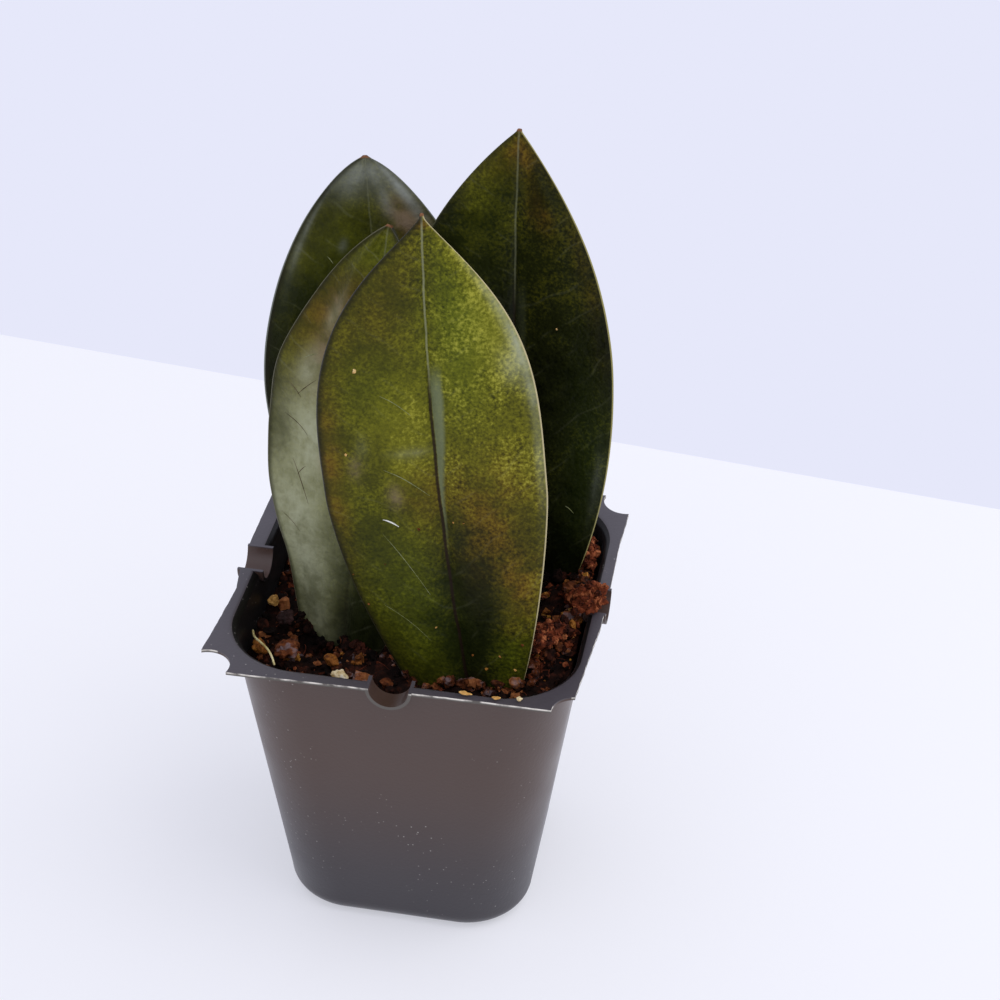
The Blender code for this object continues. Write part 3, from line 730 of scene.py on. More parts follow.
def leaf_blade(name):
    """One blade: a flat grid bent to the leaf's shape, then given its thickness."""
    leaf = LEAVES[name]
    deselect_all()
    bpy.ops.mesh.primitive_grid_add(x_subdivisions=COLUMNS, y_subdivisions=ROWS, size=1)
    blade = bpy.context.object
    blade.name = name + "_blade"
    mesh = blade.data
    thickness = blade.vertex_groups.new(name="thickness")
    marks = {key: [] for key in SKIN_MARKS}
    midrib = midrib_rows(leaf)
    most = BLADE_THICK + RIB_EXTRA
    for vert in mesh.vertices:
        across = 2 * vert.co.x
        across = across * (CROWDED + (1 - CROWDED) * across * across)
        row = round((vert.co.y + 0.5) * ROWS)
        s = row_share(row / ROWS)
        vert.co, width, half = surface_point(leaf, across, s, midrib[row])
        share = abs(across)
        thick = MARGIN_THICK + (BLADE_THICK - MARGIN_THICK) * (1 - share * share)
        thick += RIB_EXTRA * math.sqrt(1 - s) * math.exp(-(width / RIB_HALF) ** 2)
        thick = min(thick, 0.25 * half + MARGIN_THICK)
        thickness.add([vert.index], thick / most, "REPLACE")
        marks["rib_mm"].append(math.copysign(width / MM, across))
        marks["edge_mm"].append(half * (1 - share) / MM)
        marks["up"].append(s)
        marks["light"].append(lightness_at(LIGHTNESS_WITH_PAINTED_SHADE[name], across, s))
        for key, patches in TINTS[name].items():
            marks[key].append(tint_at(patches, across, s))
    for key, values in marks.items():
        mesh.attributes.new(key, "FLOAT", "POINT").data.foreach_set("value", values)
    wall = blade.modifiers.new("thickness", "SOLIDIFY")
    wall.thickness = most
    wall.offset = -1
    wall.vertex_group = "thickness"
    wall.thickness_vertex_group = 0.05
    smooth = blade.modifiers.new("smooth", "SUBSURF")
    smooth.levels = 1
    smooth.render_levels = 1
    apply_all(blade)
    bpy.ops.object.shade_smooth()
    return blade


# Leaf skin: waxy and satin. Chlorophyll shows as fine olive and yellow-green grain over a nearly
# black green; the rim and the midrib are paler, and a painted sheen greys the skin where light
# rakes it.
# Each tone stands beside its lightness.
SKIN_TONES = [(0.0, "#0B0D04"), (0.22, "#22250B"), (0.45, "#46450F"), (0.68, "#6C6A18"),
              (0.9, "#9A9634"), (1.15, "#C0B848")]
LEAF_BROWN = "#77481C"
LEAF_GREEN = "#3C5A0A"
LEAF_RIB_LINE = "#989A78"
# The midrib's band is a painted reflection beside its groove, and its crease colour a painted
# shade
RIB_PAINTED_REFLECTION = "#6E7656"
RIB_CREASE_PAINTED_SHADE = "#231812"
LEAF_RIM_SHADE = "#1E1D10"
LEAF_BUFF = "#86745C"
LEAF_TIP = "#7E563A"
GRAIN_MM = 0.28
SPECKLE_MM = 0.6
MOTTLE_MM = 3.2
CLOUD_MM = 9.0
VEINS_UP = 100.0
VEINS_ACROSS = 0.8


def set_stops(tone, stops):
    """Put (place, colour) stops on the colour ramp that a tone comes from."""
    elements = tone.node.color_ramp.elements
    elements[0].position, elements[1].position = stops[0][0], stops[-1][0]
    elements[0].color, elements[1].color = from_hex(stops[0][1]), from_hex(stops[-1][1])
    for place, colour in stops[1:-1]:
        elements.new(place).color = from_hex(colour)


def leaf_skin(name, grain_strength, painted_sheen_colour, rib_marks, rims, rim_shades, veining):
    """The skin of a blade, the same on its back: its tones and tints, then its veins, midrib,
    rims and tip, and last its gloss and grain. Its lightness holds painted shade and light, one
    tint is a painted sheen, and the midrib has a painted reflection and a painted shade. The other
    values say how strongly each shows."""
    rib_reflection, rib_crease_shade, rib_line = rib_marks
    material, tree, shader = new_material(name)
    add = functools.partial(add_node, tree)
    place = add("TexCoord", {}, give="Object")
    grain, speckle, mottle, cloud = [
        add("TexNoise", {}, place, Scale=1000 / size_mm / 2, Detail=detail, Roughness=0.6)
        for size_mm, detail in ((GRAIN_MM, 2.0), (SPECKLE_MM, 2.0), (MOTTLE_MM, 4.0),
                                (CLOUD_MM, 2.0))]
    rib, edge, up, light, brown, bloom, green, buff = [
        add("Attribute", {"attribute_name": mark}, give="Fac") for mark in SKIN_MARKS]
    grain_swing, speckle_swing, mottle_swing, cloud_swing, vein_swing = [
        add("Math", TIMES, add("Math", LESS, pattern, 0.5), amount)
        for pattern, amount in ((grain, 1.1), (speckle, 0.4), (mottle, 0.5), (cloud, 0.3),
                                (cloud, 9.0))]

    # Lightness: the blade's own with painted shade and light, and a grain that fades in dark parts
    # and near its left rim
    strength = add("MapRange", SMOOTHLY, light, 0.0, 0.5, 0.3 * grain_strength, grain_strength)
    for fade in ((rib, -6.0, 3.0, 0.6, 1.0), (mottle, 0.35, 0.6, 0.6, 1.15)):
        strength = add("Math", TIMES, strength, add("MapRange", SMOOTHLY, *fade))
    rough_light = add("Math", PLUS, grain_swing, speckle_swing)
    light = add("Math", PLUS, light, add("Math", TIMES, rough_light, strength))
    light = add("Math", PLUS, light, add("Math", PLUS, mottle_swing, cloud_swing))
    lightest = SKIN_TONES[-1][0]
    tone = add("ValToRGB", {}, add("MapRange", {}, light, 0.0, lightest))
    set_stops(tone, [(lightness / lightest, colour) for lightness, colour in SKIN_TONES])

    # Tints over it, each broken up by the mottle or held back where the skin is dark; the painted
    # sheen is one of them
    brown = add("Math", TIMES, brown, add("MapRange", SMOOTHLY, mottle, 0.35, 0.6, 0.3, 0.8))
    brown = add("Math", TIMES, brown, add("MapRange", SMOOTHLY, light, 0.1, 0.6, 0.25, 1.0))
    green = add("Math", TIMES, green, add("MapRange", SMOOTHLY, light, 0.15, 0.7, 0.1, 0.5))
    bloom = add("Math", TIMES, bloom, add("MapRange", SMOOTHLY, mottle, 0.35, 0.62, 0.5, 1.0))
    bloom = add("Math", TIMES, bloom, add("MapRange", SMOOTHLY, speckle, 0.3, 0.6, 0.85, 1.0))
    buff = add("Math", TIMES, buff, add("MapRange", SMOOTHLY, mottle, 0.40, 0.58, 0.15, 1.0))
    for amount, tint in ((brown, LEAF_BROWN), (green, LEAF_GREEN), (bloom, painted_sheen_colour),
                         (buff, LEAF_BUFF)):
        tone = add("Mix", COLOUR, amount, tone, tint)

    # Veins: faint pale lines that slant up from the midrib
    up_blade = add("Math", PLUS, add("Math", TIMES, up, VEINS_UP), vein_swing)
    across_blade = add("Math", TIMES, add("Math", BARE, rib), VEINS_ACROSS)
    veins = add("Math", TIMES, add("Math", LESS, up_blade, across_blade), 0.97)
    veins = add("MapRange", SMOOTHLY, add("Math", SINE, veins), 0.95, 1.0, 0.0, veining)
    veins = add("Math", TIMES, veins, add("MapRange", SMOOTHLY, mottle, 0.42, 0.6))
    tone = add("Mix", COLOUR, veins, tone, LEAF_RIB_LINE)

    # Midrib: a grey-green band of painted reflection and a dark painted shade in its crease low
    # down, and a pale line near the tip
    wander = add("Math", PLUS, rib, mottle_swing)
    band_width = add("MapRange", SMOOTHLY, up, 0.40, 0.68, 0.7, 2.5)
    band_end = add("Math", LESS, band_width, wander)
    reflection_band = add("Math", TIMES, add("MapRange", SMOOTHLY, wander, 0.0, 0.3),
               add("MapRange", SMOOTHLY, band_end, 0.0, 0.9))
    band_reach = add("Math", TIMES, add("MapRange", SMOOTHLY, up, 0.36, 0.48),
                     add("MapRange", SMOOTHLY, up, 0.69, 0.75, 1.0, 0.0))
    reflection_band = add("Math", TIMES, add("Math", TIMES, reflection_band, band_reach), rib_reflection)
    tone = add("Mix", COLOUR, reflection_band, tone, RIB_PAINTED_REFLECTION)
    crease = add("Math", BARE, add("Math", PLUS, wander, 0.15))
    crease = add("MapRange", SMOOTHLY, crease, 0.12, 0.40, 1.0, 0.0)
    crease = add("Math", TIMES, crease, add("MapRange", SMOOTHLY, up, 0.66, 0.76, rib_crease_shade, 0.0))
    tone = add("Mix", COLOUR, crease, tone, RIB_CREASE_PAINTED_SHADE)
    line = add("MapRange", SMOOTHLY, add("Math", BARE, wander), 0.06, 0.26, 1.0, 0.0)
    line = add("Math", TIMES, line, add("MapRange", SMOOTHLY, up, 0.66, 0.76, 0.0, rib_line))
    tone = add("Mix", COLOUR, line, tone, LEAF_RIB_LINE)

    # Rims: a dark shade inside each, then the rim's own colour, and the dry tip
    right_side = add("Math", MORE_THAN, rib, 0.0)
    shade = add("Math", TIMES, right_side, rim_shades[1] - rim_shades[0])
    shade = add("Math", PLUS, rim_shades[0], shade)
    shade = add("Math", TIMES, shade, add("MapRange", SMOOTHLY, edge, 0.3, 1.6, 1.0, 0.0))
    tone = add("Mix", COLOUR, shade, tone, LEAF_RIM_SHADE)
    rim = add("Mix", COLOUR, right_side, *rims)
    tone = add("Mix", COLOUR, add("MapRange", SMOOTHLY, edge, 0.08, 0.30, 0.95, 0.0), tone, rim)
    tone = add("Mix", COLOUR, add("MapRange", SMOOTHLY, up, 0.995, 0.999), tone, LEAF_TIP)

    rough = add("MapRange", SMOOTHLY, mottle, 0.3, 0.7, 0.36, 0.5)
    rough = add("Math", PLUS, rough, add("Math", TIMES, bloom, 0.08))
    relief = add("Math", PLUS, add("Math", TIMES, speckle, 0.6), add("Math", TIMES, mottle, 2.5))
    relief = add("Math", PLUS, add("Math", TIMES, grain, 0.3), relief)
    bump = add("Bump", {}, Height=relief, Strength=0.6, Distance=0.4 * MM)
    set_inputs(shader, Base_Color=tone, Roughness=rough, Normal=bump, IOR=1.42,
               Specular_IOR_Level=0.10)
    return material


SKINS = {
    # grain, painted sheen colour, (midrib's painted reflection, its crease's painted shade, line),
    # (left rim, right rim), (shade inside the left rim, inside the right), veins
    "leaf_front": (1.0, "#A0A486", (0.85, 0.9, 0.55), ("#35332A", "#B4A87E"), (0.75, 0.1),
                   0.04),
    "leaf_back_right": (1.0, "#7C8072", (0.15, 0.6, 0.3), ("#4A4930", "#948C56"), (0.3, 0.1),
                        0.05),
    "leaf_back_left": (0.45, "#969B94", (0.1, 0.5, 0.15), ("#74786C", "#6A6E68"), (0.75, 0.3),
                       0.08),
    "leaf_left": (0.5, "#A4A686", (0.1, 0.2, 0.2), ("#625F48", "#3A3A2C"), (0.7, 0.5), 0.10),
}
for name in LEAVES:
    blade = leaf_blade(name)
    blade.data.materials.clear()
    blade.data.materials.append(leaf_skin(name + "_skin", *SKINS[name]))
    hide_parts(name)
    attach(blade, "root")

# ---------------------------------------------------------------- soil
# Damp coir and fine bark that fills the pot, low at the left and front and banked up at the
# right. Its top is a crust of crumbs, with fibres sticking out.

SOIL_LEVEL = 55.5 * MM
SOIL_RISE = 5 * MM
SOIL_ROUGHNESS = 0.8 * MM
SOIL_STEPS = 150
# In mm, (x, y): where the bank at the right starts and over what it rises, and the hollow by the
# left leaf
BANK_START, BANK_OVER = (8, -26), (18, 16)
HOLLOW, HOLLOW_HALF = (-18, -9.5), (5, 4.5)
HOLLOW_DEPTH = 4.6 * MM
COARSE_LUMP = 7 * MM
FINE_LUMP = 2.8 * MM
# Crumbs of the crust: (size mm, noise layer, share) of each kind, their middle and their height
CRUST = [(2.1, 0, 0.9), (0.9, 0.3, 0.35)]
CRUST_MIDDLE = 0.55
CRUST_HEIGHT = 1.7
SOIL_GAP = 0.05 * MM
SOIL_WAIST = 36 * MM
SOIL_FLOOR = 1.0 * MM
FLOOR_INSET = 3 * MM
# Crest of the ridge of coir at the right: (x, y, height over the soil, half width), mm
RIDGE = [(22.8, -15.5, 1.0, 2.0), (24.4, -10.5, 2.6, 2.6), (27.0, -5.0, 2.8, 2.4),
         (29.0, 0.5, 2.6, 2.2), (28.6, 6.5, 2.4, 2.2), (28.2, 12.0, 2.4, 2.2),
         (28.0, 18.0, 1.6, 2.2), (25.5, 23.0, 0.8, 2.2)]


def ridge_height(x, y):
    """Extra height of the ridge, which falls off on both sides of its crest."""
    place = Vector((x, y)) / MM
    best = 0.0
    for low, high in zip(RIDGE, RIDGE[1:]):
        start, end = Vector(low[:2]), Vector(high[:2])
        share = (place - start).dot(end - start) / (end - start).length_squared
        share = min(max(share, 0), 1)
        far = (place - start.lerp(end, share)).length
        height = low[2] + (high[2] - low[2]) * share
        width = low[3] + (high[3] - low[3]) * share
        best = max(best, height * math.exp(-(far / width) ** 2))
    return best * MM


def soil_height(x, y):
    """Smooth height of the soil's top."""
    bank = (smooth_step((x / MM - BANK_START[0]) / BANK_OVER[0])
            * smooth_step((y / MM - BANK_START[1]) / BANK_OVER[1]))
    coarse = noise.noise(Vector((x, y, 0)) / COARSE_LUMP + Vector((3.1, 7.7, 0.4)))
    fine = noise.noise(Vector((x, y, 0)) / FINE_LUMP + Vector((9.2, 1.3, 5.0)))
    hollow = math.exp(-((x / MM - HOLLOW[0]) / HOLLOW_HALF[0]) ** 2
                      - ((y / MM - HOLLOW[1]) / HOLLOW_HALF[1]) ** 2)
    return (SOIL_LEVEL + SOIL_RISE * bank + SOIL_ROUGHNESS * (coarse + 0.5 * fine)
            + 0.6 * ridge_height(x, y) - HOLLOW_DEPTH * hollow)


def crumbled(x, y):
    """Soil height with its crumbs: rounded lumps between pits."""
    lumps = 0.0
    for size_mm, layer, share in CRUST:
        near = noise.voronoi(Vector((x, y, layer)) / (size_mm * MM))[0]
        lumps += (near[1] - near[0]) * share
    return soil_height(x, y) + (lumps - CRUST_MIDDLE) * CRUST_HEIGHT * MM


deselect_all()
bpy.ops.mesh.primitive_grid_add(x_subdivisions=SOIL_STEPS, y_subdivisions=SOIL_STEPS, size=2)
soil = bpy.context.object
soil.name = "soil_bed"
for vert in soil.data.vertices:
    x, y = vert.co.x, vert.co.y
    angle = math.atan2(y, x)
    share = max(abs(x), abs(y))
    side, corner = wall_at(SOIL_LEVEL)
    inset = WALL + SOIL_GAP
    reach = square_reach(angle, side - 2 * inset, corner - inset) * share
    x, y = reach * math.cos(angle), reach * math.sin(angle)
    vert.co = (x, y, crumbled(x, y) if share > 0 else soil_height(0, 0))
edit_all(soil, bpy.ops.mesh.region_to_loop)
# Down the inside of the pot in three rings, and closed with a flat floor
for z in (SOIL_WAIST, FOOT_RADIUS, SOIL_FLOOR):
    ring = extrude_rim(soil)
    side, corner = wall_at(z)
    inset = WALL + SOIL_GAP + (FLOOR_INSET if z < FOOT_RADIUS else 0)
    place_ring(soil.data, ring,
               lambda angle: square_reach(angle, side - 2 * inset, corner - inset), z)
bpy.ops.object.mode_set(mode="EDIT")
bpy.ops.mesh.edge_face_add()
bpy.ops.object.mode_set(mode="OBJECT")
edit_all(soil, face_outwards)
bpy.ops.object.shade_smooth()


MOULD_SCALE = 520.0  # specks of mould about 2 mm across


def earth(name, colours, size_mm, rough=0.9, mould=None):
    """Crumbly matter in three tones, mottled at a size, with a pitted surface. A piece with a
    tone of its own leans to the dark or the pale end; mould is a second colour in specks."""
    material, tree, shader = new_material(name)
    add = functools.partial(add_node, tree)
    place = add("TexCoord", {}, give="Object")
    mottle = add("TexNoise", {}, place, Scale=1000 / size_mm / 2, Detail=5.0, Roughness=0.7)
    own = add("Attribute", {"attribute_name": "tone"}, give="Fac")
    tone = add("ValToRGB", {}, add("Math", PLUS, mottle, own))
    set_stops(tone, list(zip((0.36, 0.54, 0.74), colours)))
    if mould:
        specks = add("TexNoise", {}, place, Scale=MOULD_SCALE, Detail=3.0)
        patch = add("MapRange", {}, specks, 0.56, 0.66, 0.0, 0.45)
        tone = add("Mix", COLOUR, patch, tone, mould)
    bump = add("Bump", {}, Height=mottle, Strength=0.8, Distance=0.6 * MM)
    set_inputs(shader, Base_Color=tone, Roughness=rough, Specular_IOR_Level=0.12, Normal=bump)
    return material


# Damp coir and peat are nearly black and have no shine, and dry coir is rust red
damp_soil = earth("damp_coir_soil", ("#080301", "#1C0C06", "#4C2416"), 1.4)
red_coir = earth("red_coir_crumb", ("#2A0F06", "#6A3018", "#AC6840"), 0.8)
rust_fibre = earth("rust_coir_fibre", ("#3A160B", "#6E3520", "#9A5A3E"), 1.0)
# Pine bark: weathered pieces are brown with grey specks, damp ones dark, and fresh or resinous
# ones amber to straw, a little smoother
brown_bark = earth("weathered_bark", ("#2A1208", "#663519", "#9C6238"), 0.9, 0.75, "#8A7E80")
amber_bark = earth("resinous_amber_bark", ("#4A240C", "#8A5420", "#C08838"), 0.9, 0.6)
dark_bark = earth("damp_dark_bark", ("#150C0A", "#2E1C18", "#4C3430"), 1.2, 0.7)
pale_bark = earth("fresh_pale_bark", ("#96682E", "#D0A058", "#F0D498"), 0.8, 0.7)
# Perlite is white foamed glass, stained cream by the damp mix
perlite = earth("stained_perlite", ("#B4945C", "#E4D0A0", "#FAF4E4"), 0.6, 0.8)
# Dry root is straw coloured, and a single hair of it bleaches white
root_skin = earth("dry_root_skin", ("#A8965A", "#D4C68C", "#EEE4B8"), 1.2, 0.6)
dry_hair = earth("bleached_root_hair", ("#DCDCD0", "#F2F2EA", "#FFFFFF"), 1.0, 0.6)
# A scratch lifts the leaf's wax, which then looks pale; an old crease heals as brown cork
scratched_wax = earth("scratched_leaf_wax", ("#6E7442", "#8C9068", "#B4B894"), 0.8, 0.5)
corky_crease = earth("corky_leaf_crease", ("#33261A", "#5A4430", "#7A6450"), 0.8, 0.8)

soil.data.materials.clear()
soil.data.materials.append(damp_soil)
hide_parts("soil")
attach(soil, "root")

# ---------------------------------------------------------------- crumbs and fibres
# Loose crumbs of coir and bark that lie all over the soil and are heaped along the ridge, and
# the coir's own short fibres.

CRUMB_KINDS = {
    # how many over all, how many on the ridge, smallest and largest (mm), material, slot
    "dark": (560, 60, 0.6, 2.8, damp_soil, "potting_soil"),
    "brown": (260, 90, 0.5, 3.0, brown_bark, "bark"),
    "red": (170, 460, 0.4, 1.7, red_coir, "coir"),
    "amber": (80, 70, 0.4, 2.3, amber_bark, "bark"),
    "pale": (30, 10, 0.3, 1.3, pale_bark, "pale_bark"),
}
# A crumb's corners and their depth, how it is turned and stretched, and how far its tone leans
CRUMB_CORNERS, CRUMB_DEPTH = 3.1, 0.8
FULL_TURN = 6.28
CRUMB_STRETCH = (0.5, 1.15)
TONE_LEAN = 0.16
CRUMB_LIFT = 0.22  # share of a crumb's size that its middle stands over the crust
FIBRE_COUNT = 150
FIBRE_HALF = 0.055 * MM
LONGEST_ON_SOIL, LONGEST_ON_RIDGE = 4.0, 2.5  # mm
SOIL_HALF = 30
RIDGE_SPREAD = 1.5
RIDGE_HEAP = 0.7
draw = random.Random(11)


def inside_pot(x, y, spare):
    """Whether a place is inside the wall, with some room to spare."""
    side, corner = wall_at(SOIL_LEVEL)
    reach = square_reach(math.atan2(y, x), side - 2 * (WALL + spare), corner - WALL - spare)
    return math.hypot(x, y) < reach


def any_place(spare):
    """A random place on the soil."""
    while True:
        x = draw.uniform(-SOIL_HALF, SOIL_HALF) * MM
        y = draw.uniform(-SOIL_HALF, SOIL_HALF) * MM
        if inside_pot(x, y, spare):
            return x, y


def ridge_place(spare):
    """A random place near the crest of the ridge."""
    while True:
        low = draw.randrange(len(RIDGE) - 1)
        share = draw.random()
        middle = Vector(RIDGE[low][:2]).lerp(Vector(RIDGE[low + 1][:2]), share)
        x = (middle.x + draw.gauss(0, RIDGE_SPREAD)) * MM
        y = (middle.y + draw.gauss(0, RIDGE_SPREAD)) * MM
        if inside_pot(x, y, spare):
            return x, y


def join_as(name, objects, material):
    """Join copies into one piece with its place in its mesh."""
    deselect_all()
    for obj in objects:
        obj.select_set(True)
    bpy.context.view_layer.objects.active = objects[0]
    bpy.ops.object.transform_apply(location=True, rotation=True, scale=True)
    bpy.ops.object.join()
    joined = bpy.context.object
    joined.name = name
    joined.data.materials.clear()
    joined.data.materials.append(material)
    return joined


def crumb_model(seed):
    """A small angular lump to copy."""
    deselect_all()
    bpy.ops.mesh.primitive_ico_sphere_add(subdivisions=2, radius=0.5)
    lump = bpy.context.object
    for vert in lump.data.vertices:
        push = noise.noise(vert.co * CRUMB_CORNERS + Vector((seed, seed * 2, 0)))
        vert.co *= 1 + CRUMB_DEPTH * push
    return lump


def crumb_copy(model, place, size):
    """One crumb, turned and stretched at random, with a tone of its own."""
    copy = bpy.data.objects.new("crumb", model.data.copy())
    bpy.context.scene.collection.objects.link(copy)
    copy.location = place
    copy.rotation_euler = [draw.uniform(0, FULL_TURN) for _ in range(3)]
    copy.scale = [size * MM * draw.uniform(*CRUMB_STRETCH) for _ in range(3)]
    lean = draw.uniform(-TONE_LEAN, TONE_LEAN)
    copy.data.attributes.new("tone", "FLOAT", "POINT").data.foreach_set(
        "value", [lean] * len(copy.data.vertices))
    return copy


def crumbs(name, places, material, slot):
    """Crumbs at (x, y, z, size in mm), joined into one piece."""
    models = [crumb_model(seed) for seed in range(4)]
    copies = [crumb_copy(models[i % 4], place[:3], place[3]) for i, place in enumerate(places)]
    for model in models:
        bpy.data.objects.remove(model, do_unlink=True)
    joined = join_as(name, copies, material)
    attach(joined, "root")
    return joined


for kind, (count, on_ridge, small, large, material, slot) in CRUMB_KINDS.items():
    places = []
    for i in range(count + on_ridge):
        size = small + (large - small) * draw.random() ** 2.2
        x, y = (any_place if i < count else ridge_place)(0.35 * size * MM)
        lift = CRUMB_LIFT * size + (0 if i < count else draw.uniform(0, RIDGE_HEAP))
        places.append((x, y, crumbled(x, y) + lift * MM, size))
    crumbs("crumbs_" + kind, places, material, slot)


def thread_curve(name, half_thick):
    """An empty curve whose splines are drawn as thin round threads."""
    curve = bpy.data.curves.new(name, "CURVE")
    curve.dimensions = "3D"
    curve.bevel_depth = half_thick
    curve.bevel_resolution = 0
    curve.resolution_u = 3
    curve.use_fill_caps = True
    return curve


def thread_mesh(curve, material, slot):
    """Turn a finished curve into one mesh piece."""
    threads = bpy.data.objects.new(curve.name, curve)
    bpy.context.scene.collection.objects.link(threads)
    pick(threads)
    bpy.ops.object.convert(target="MESH")
    made = bpy.context.object
    made.data.materials.clear()
    made.data.materials.append(material)
    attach(made, "root")


def fibres(name, place_on, spare, lift, longest):
    """Short curved coir fibres that lie on the soil, as one piece."""
    curve = thread_curve(name, FIBRE_HALF)
    for _ in range(FIBRE_COUNT):
        x, y = place_on(spare)
        point = Vector((x, y, crumbled(x, y) + lift))
        spline = curve.splines.new("NURBS")
        spline.points.add(3)
        spline.use_endpoint_u = True
        heading = draw.uniform(0, 2 * math.pi)
        length = draw.uniform(1.0, longest) * MM
        for knot in spline.points:
            knot.co = (*point, 1)
            knot.radius = draw.uniform(0.5, 1.2)
            heading += draw.uniform(-0.9, 0.9)
            point += Vector((math.cos(heading), math.sin(heading),
                             draw.uniform(-0.35, 0.40))) * length / 3
    thread_mesh(curve, rust_fibre, "coir")


fibres("soil_fibres", any_place, 4 * MM, 0.3 * MM, LONGEST_ON_SOIL)
fibres("ridge_fibres", ridge_place, 3 * MM, 0.6 * MM, LONGEST_ON_RIDGE)

# ---------------------------------------------------------------- specks on the leaves
# Grains of bark and a dry root hair that stuck to the leaves when they were potted, the crumbs
# round their feet, and the scratches and old creases in their skins, drawn as thin threads that
# are half sunk in the face.

SPECKS = {
    # leaf, across, up, size (mm)
    "amber": [("leaf_front", -0.22, 0.443, 0.6), ("leaf_front", -0.6, 0.38, 0.4),
              ("leaf_front", 0.85, 0.21, 0.8), ("leaf_front", 0.35, 0.165, 0.7),
              ("leaf_front", -0.92, 0.30, 0.7), ("leaf_front", -0.95, 0.36, 0.4),
              ("leaf_back_right", 0.3, 0.28, 0.5), ("leaf_front", 0.15, 0.19, 0.6)],
    "pale": [("leaf_front", -0.68, 0.74, 0.9), ("leaf_front", -0.76, 0.59, 0.5),
             ("leaf_front", 0.10, 0.45, 0.35), ("leaf_front", 0.20, 0.45, 0.35),
             ("leaf_front", 0.55, 0.19, 0.6), ("leaf_front", 0.8, 0.16, 0.6),
             ("leaf_back_right", 0.45, 0.66, 0.4), ("leaf_front", -0.25, 0.25, 0.4)],
}
# Fine lines on the skins: leaf, (across, up) at each end, half thickness (mm)
FINE_LINES = {
    "root_hair": [("leaf_front", (-0.52, 0.465), (-0.39, 0.450), 0.16)],
    "pale_scratches": [
        ("leaf_front", (-0.45, 0.558), (-0.085, 0.502), 0.07),
        ("leaf_front", (-0.44, 0.694), (-0.18, 0.654), 0.06),
        ("leaf_front", (-0.55, 0.438), (-0.23, 0.314), 0.05),
        ("leaf_front", (-0.75, 0.30), (-0.35, 0.225), 0.04),
        ("leaf_back_right", (-0.45, 0.744), (-0.10, 0.68), 0.06),
        ("leaf_back_right", (0.57, 0.317), (0.68, 0.303), 0.09),
        ("leaf_back_left", (-0.52, 0.81), (-0.44, 0.795), 0.08),
        ("leaf_left", (-0.72, 0.70), (-0.60, 0.715), 0.07)],
    "brown_creases": [
        ("leaf_left", (-0.84, 0.568), (-0.55, 0.54), 0.07),
        ("leaf_left", (-0.72, 0.479), (-0.52, 0.40), 0.08),
        ("leaf_left", (-0.66, 0.45), (-0.56, 0.475), 0.06),
        ("leaf_left", (-0.88, 0.36), (-0.66, 0.33), 0.05),
        ("leaf_left", (-0.70, 0.62), (-0.55, 0.66), 0.07),
        ("leaf_left", (-0.80, 0.64), (-0.66, 0.615), 0.05)],
}
LINE_POINTS = 14
LINE_BOW = 0.015
LINE_TAPER = 0.35  # thickness of the ends, as a share of the middle


def on_leaf(name, across, up):
    """A point on a leaf's face, between two of its rows."""
    leaf = LEAVES[name]
    rising = midrib_rows(leaf)
    row = max(i for i in range(ROWS) if row_share(i / ROWS) <= up)
    low, high = row_share(row / ROWS), row_share((row + 1) / ROWS)
    midrib_point = rising[row].lerp(rising[row + 1], (up - low) / (high - low))
    return surface_point(leaf, across, up, midrib_point)[0]


SPECK_FINISHES = {"amber": (amber_bark, "bark"), "pale": (pale_bark, "pale_bark")}
for kind, specks in SPECKS.items():
    places = [(*on_leaf(leaf, across, up), size) for leaf, across, up, size in specks]
    crumbs("specks_" + kind, places, *SPECK_FINISHES[kind])

# Crumbs that lean against the feet of the leaves, where each one goes into the soil: how many,
# the smallest and what the largest has over it, and how far they lie from the face (mm)
FOOT_CRUMBS = 70
FOOT_SMALLEST, FOOT_LARGER = 0.6, 1.9
FOOT_OUT = 0.9
for name in LEAVES:
    rising = midrib_rows(LEAVES[name])
    places = []
    for _ in range(FOOT_CRUMBS):
        across = draw.uniform(-1, 1)
        for row in range(ROWS):
            up = row_share(row / ROWS)
            point = surface_point(LEAVES[name], across, up, rising[row])[0]
            if point.z > crumbled(point.x, point.y):
                break
        out = blade_axes(LEAVES[name], up)[2] * draw.uniform(0.0, FOOT_OUT) * MM
        size = FOOT_SMALLEST + FOOT_LARGER * draw.random() ** 2
        if inside_pot(point.x + out.x, point.y + out.y, 0.5 * size * MM):
            places.append((point.x + out.x, point.y + out.y,
                           point.z + draw.uniform(0.0, 0.35) * size * MM, size))
    crumbs(name + "_foot_crumbs", places, draw.choice([damp_soil, brown_bark]), "potting_soil")

LINE_FINISHES = {"root_hair": (dry_hair, "root"), "pale_scratches": (scratched_wax, "leaf_skin"),
                 "brown_creases": (corky_crease, "leaf_skin")}
for kind, lines in FINE_LINES.items():
    curve = thread_curve(kind, 1 * MM)
    for leaf, start, end, half_thick in lines:
        spline = curve.splines.new("POLY")
        spline.points.add(LINE_POINTS - 1)
        for i, knot in enumerate(spline.points):
            share = i / (LINE_POINTS - 1)
            middle = math.sin(math.pi * share)
            bow = LINE_BOW * (end[0] - start[0]) * middle
            across = start[0] + (end[0] - start[0]) * share
            up = start[1] + (end[1] - start[1]) * share + bow
            knot.co = (*on_leaf(leaf, across, up), 1)
            knot.radius = half_thick * (LINE_TAPER + (1 - LINE_TAPER) * middle)
    thread_mesh(curve, *LINE_FINISHES[kind])

# ---------------------------------------------------------------- coir clumps
# Red-brown knots of coir along the ridge at the right; one leans out over the rim. Each is a
# rough core with loose crumbs stuck to it.


SAME_POINT = 0.01 * MM
# A lump's finer bumps, its wider knobs and their share, and how far its skin sinks to make room
FINER, KNOBBLIER = 2.3, 0.8
KNOB_SHARE = 0.9
SUNK = 0.4
CREASE_ANGLE = math.radians(40)


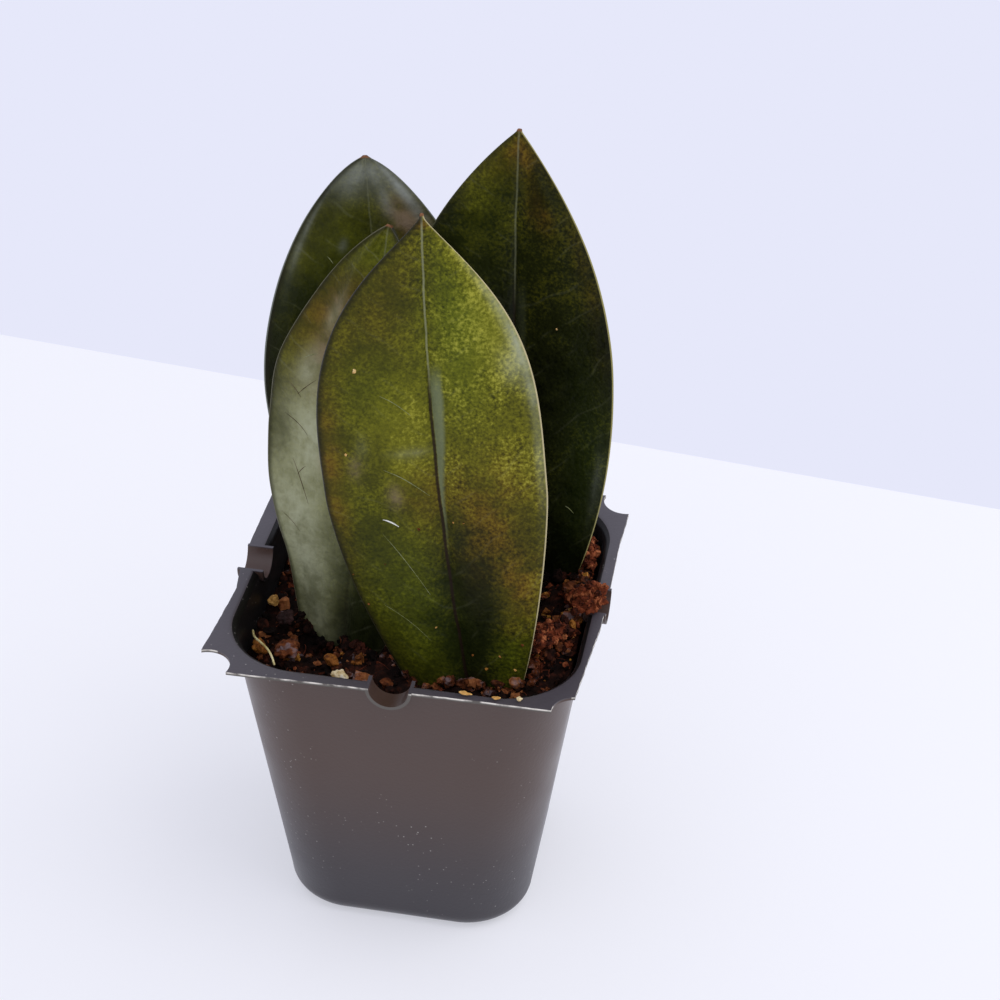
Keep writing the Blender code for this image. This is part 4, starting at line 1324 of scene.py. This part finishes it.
def lump_from(node, name, level, push, size_mm, material):
    """Finish a frame solid as a natural lump: merge, smooth at a level, then push its surface
    in and out by up to about a push (mm), in bumps of a size."""
    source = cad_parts[node]
    lump = source.copy()
    lump.data = source.data.copy()
    lump.parent = None
    lump.matrix_world = Matrix.Identity(4)
    bpy.context.scene.collection.objects.link(lump)
    lump.name = name
    edit_all(lump, lambda: bpy.ops.mesh.remove_doubles(threshold=SAME_POINT), face_outwards)
    smooth = lump.modifiers.new("smooth", "SUBSURF")
    smooth.levels = level
    smooth.render_levels = level
    apply_all(lump)
    centre = sum((vert.co for vert in lump.data.vertices), Vector()) / len(lump.data.vertices)
    for vert in lump.data.vertices:
        way = (vert.co - centre).normalized()
        place = vert.co / (size_mm * MM)
        rough = noise.noise(place) + 0.5 * noise.noise(place * FINER)
        near = noise.voronoi(place * KNOBBLIER)[0]
        vert.co += way * push * MM * (rough + KNOB_SHARE * (near[1] - near[0]) - SUNK)
    lump.data.materials.clear()
    lump.data.materials.append(material)
    bpy.ops.object.shade_smooth_by_angle(angle=CREASE_ANGLE)
    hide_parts(node)
    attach(lump, "root")
    return lump


CLUMP_CRUMBS = {"coir_clump_rim": 90, "coir_clump_front_right": 150,
                "coir_clump_back_right": 110}
CLUMP_OUTERMOST = 32.8 * MM
for node, count in CLUMP_CRUMBS.items():
    clump = lump_from(node, node + "_knot", 2, 1.2, 2.0, red_coir)
    upper = [vert.co.copy() for vert in clump.data.vertices if vert.normal.z > 0.0]
    places = []
    for _ in range(count):
        point = draw.choice(upper)
        places.append((min(point.x, CLUMP_OUTERMOST), point.y,
                       point.z + draw.uniform(-0.3, 0.2) * MM, draw.uniform(0.5, 1.5)))
    crumbs(node + "_crumbs", places, red_coir, "coir")

# ---------------------------------------------------------------- loose pieces
# Bark chips, straw-coloured nuggets and slivers, and perlite grains: they lie on the soil, and a
# few were spilt on the flange when the pot was filled. Each is one broken solid, left as it is.

BARK_FINISHES = {"bark_chunk_corner": amber_bark, "bark_chip_right": amber_bark,
                 "bark_chip_left": dark_bark, "bark_chip_front": amber_bark,
                 "bark_nugget_middle": amber_bark}
for node in sorted(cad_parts):
    if node.startswith(("bark_nugget", "bark_sliver")):
        lump_from(node, node + "_piece", 2, 0.3, 1.0, BARK_FINISHES.get(node, pale_bark))
    elif node.startswith("bark_"):
        lump_from(node, node + "_piece", 3, 0.55, 1.3, BARK_FINISHES.get(node, brown_bark))
    elif node.startswith("perlite_"):
        lump_from(node, node + "_piece", 2, 0.3, 0.8, perlite)

# ---------------------------------------------------------------- root strand
# A dry, pale root, as thick as string, that was pulled out of the mix and lies over it at the
# front left. It is one round strand, smoothed but not roughened.

lump_from("root_strand", "root_strand_piece", 1, 0.0, 1.0, root_skin)
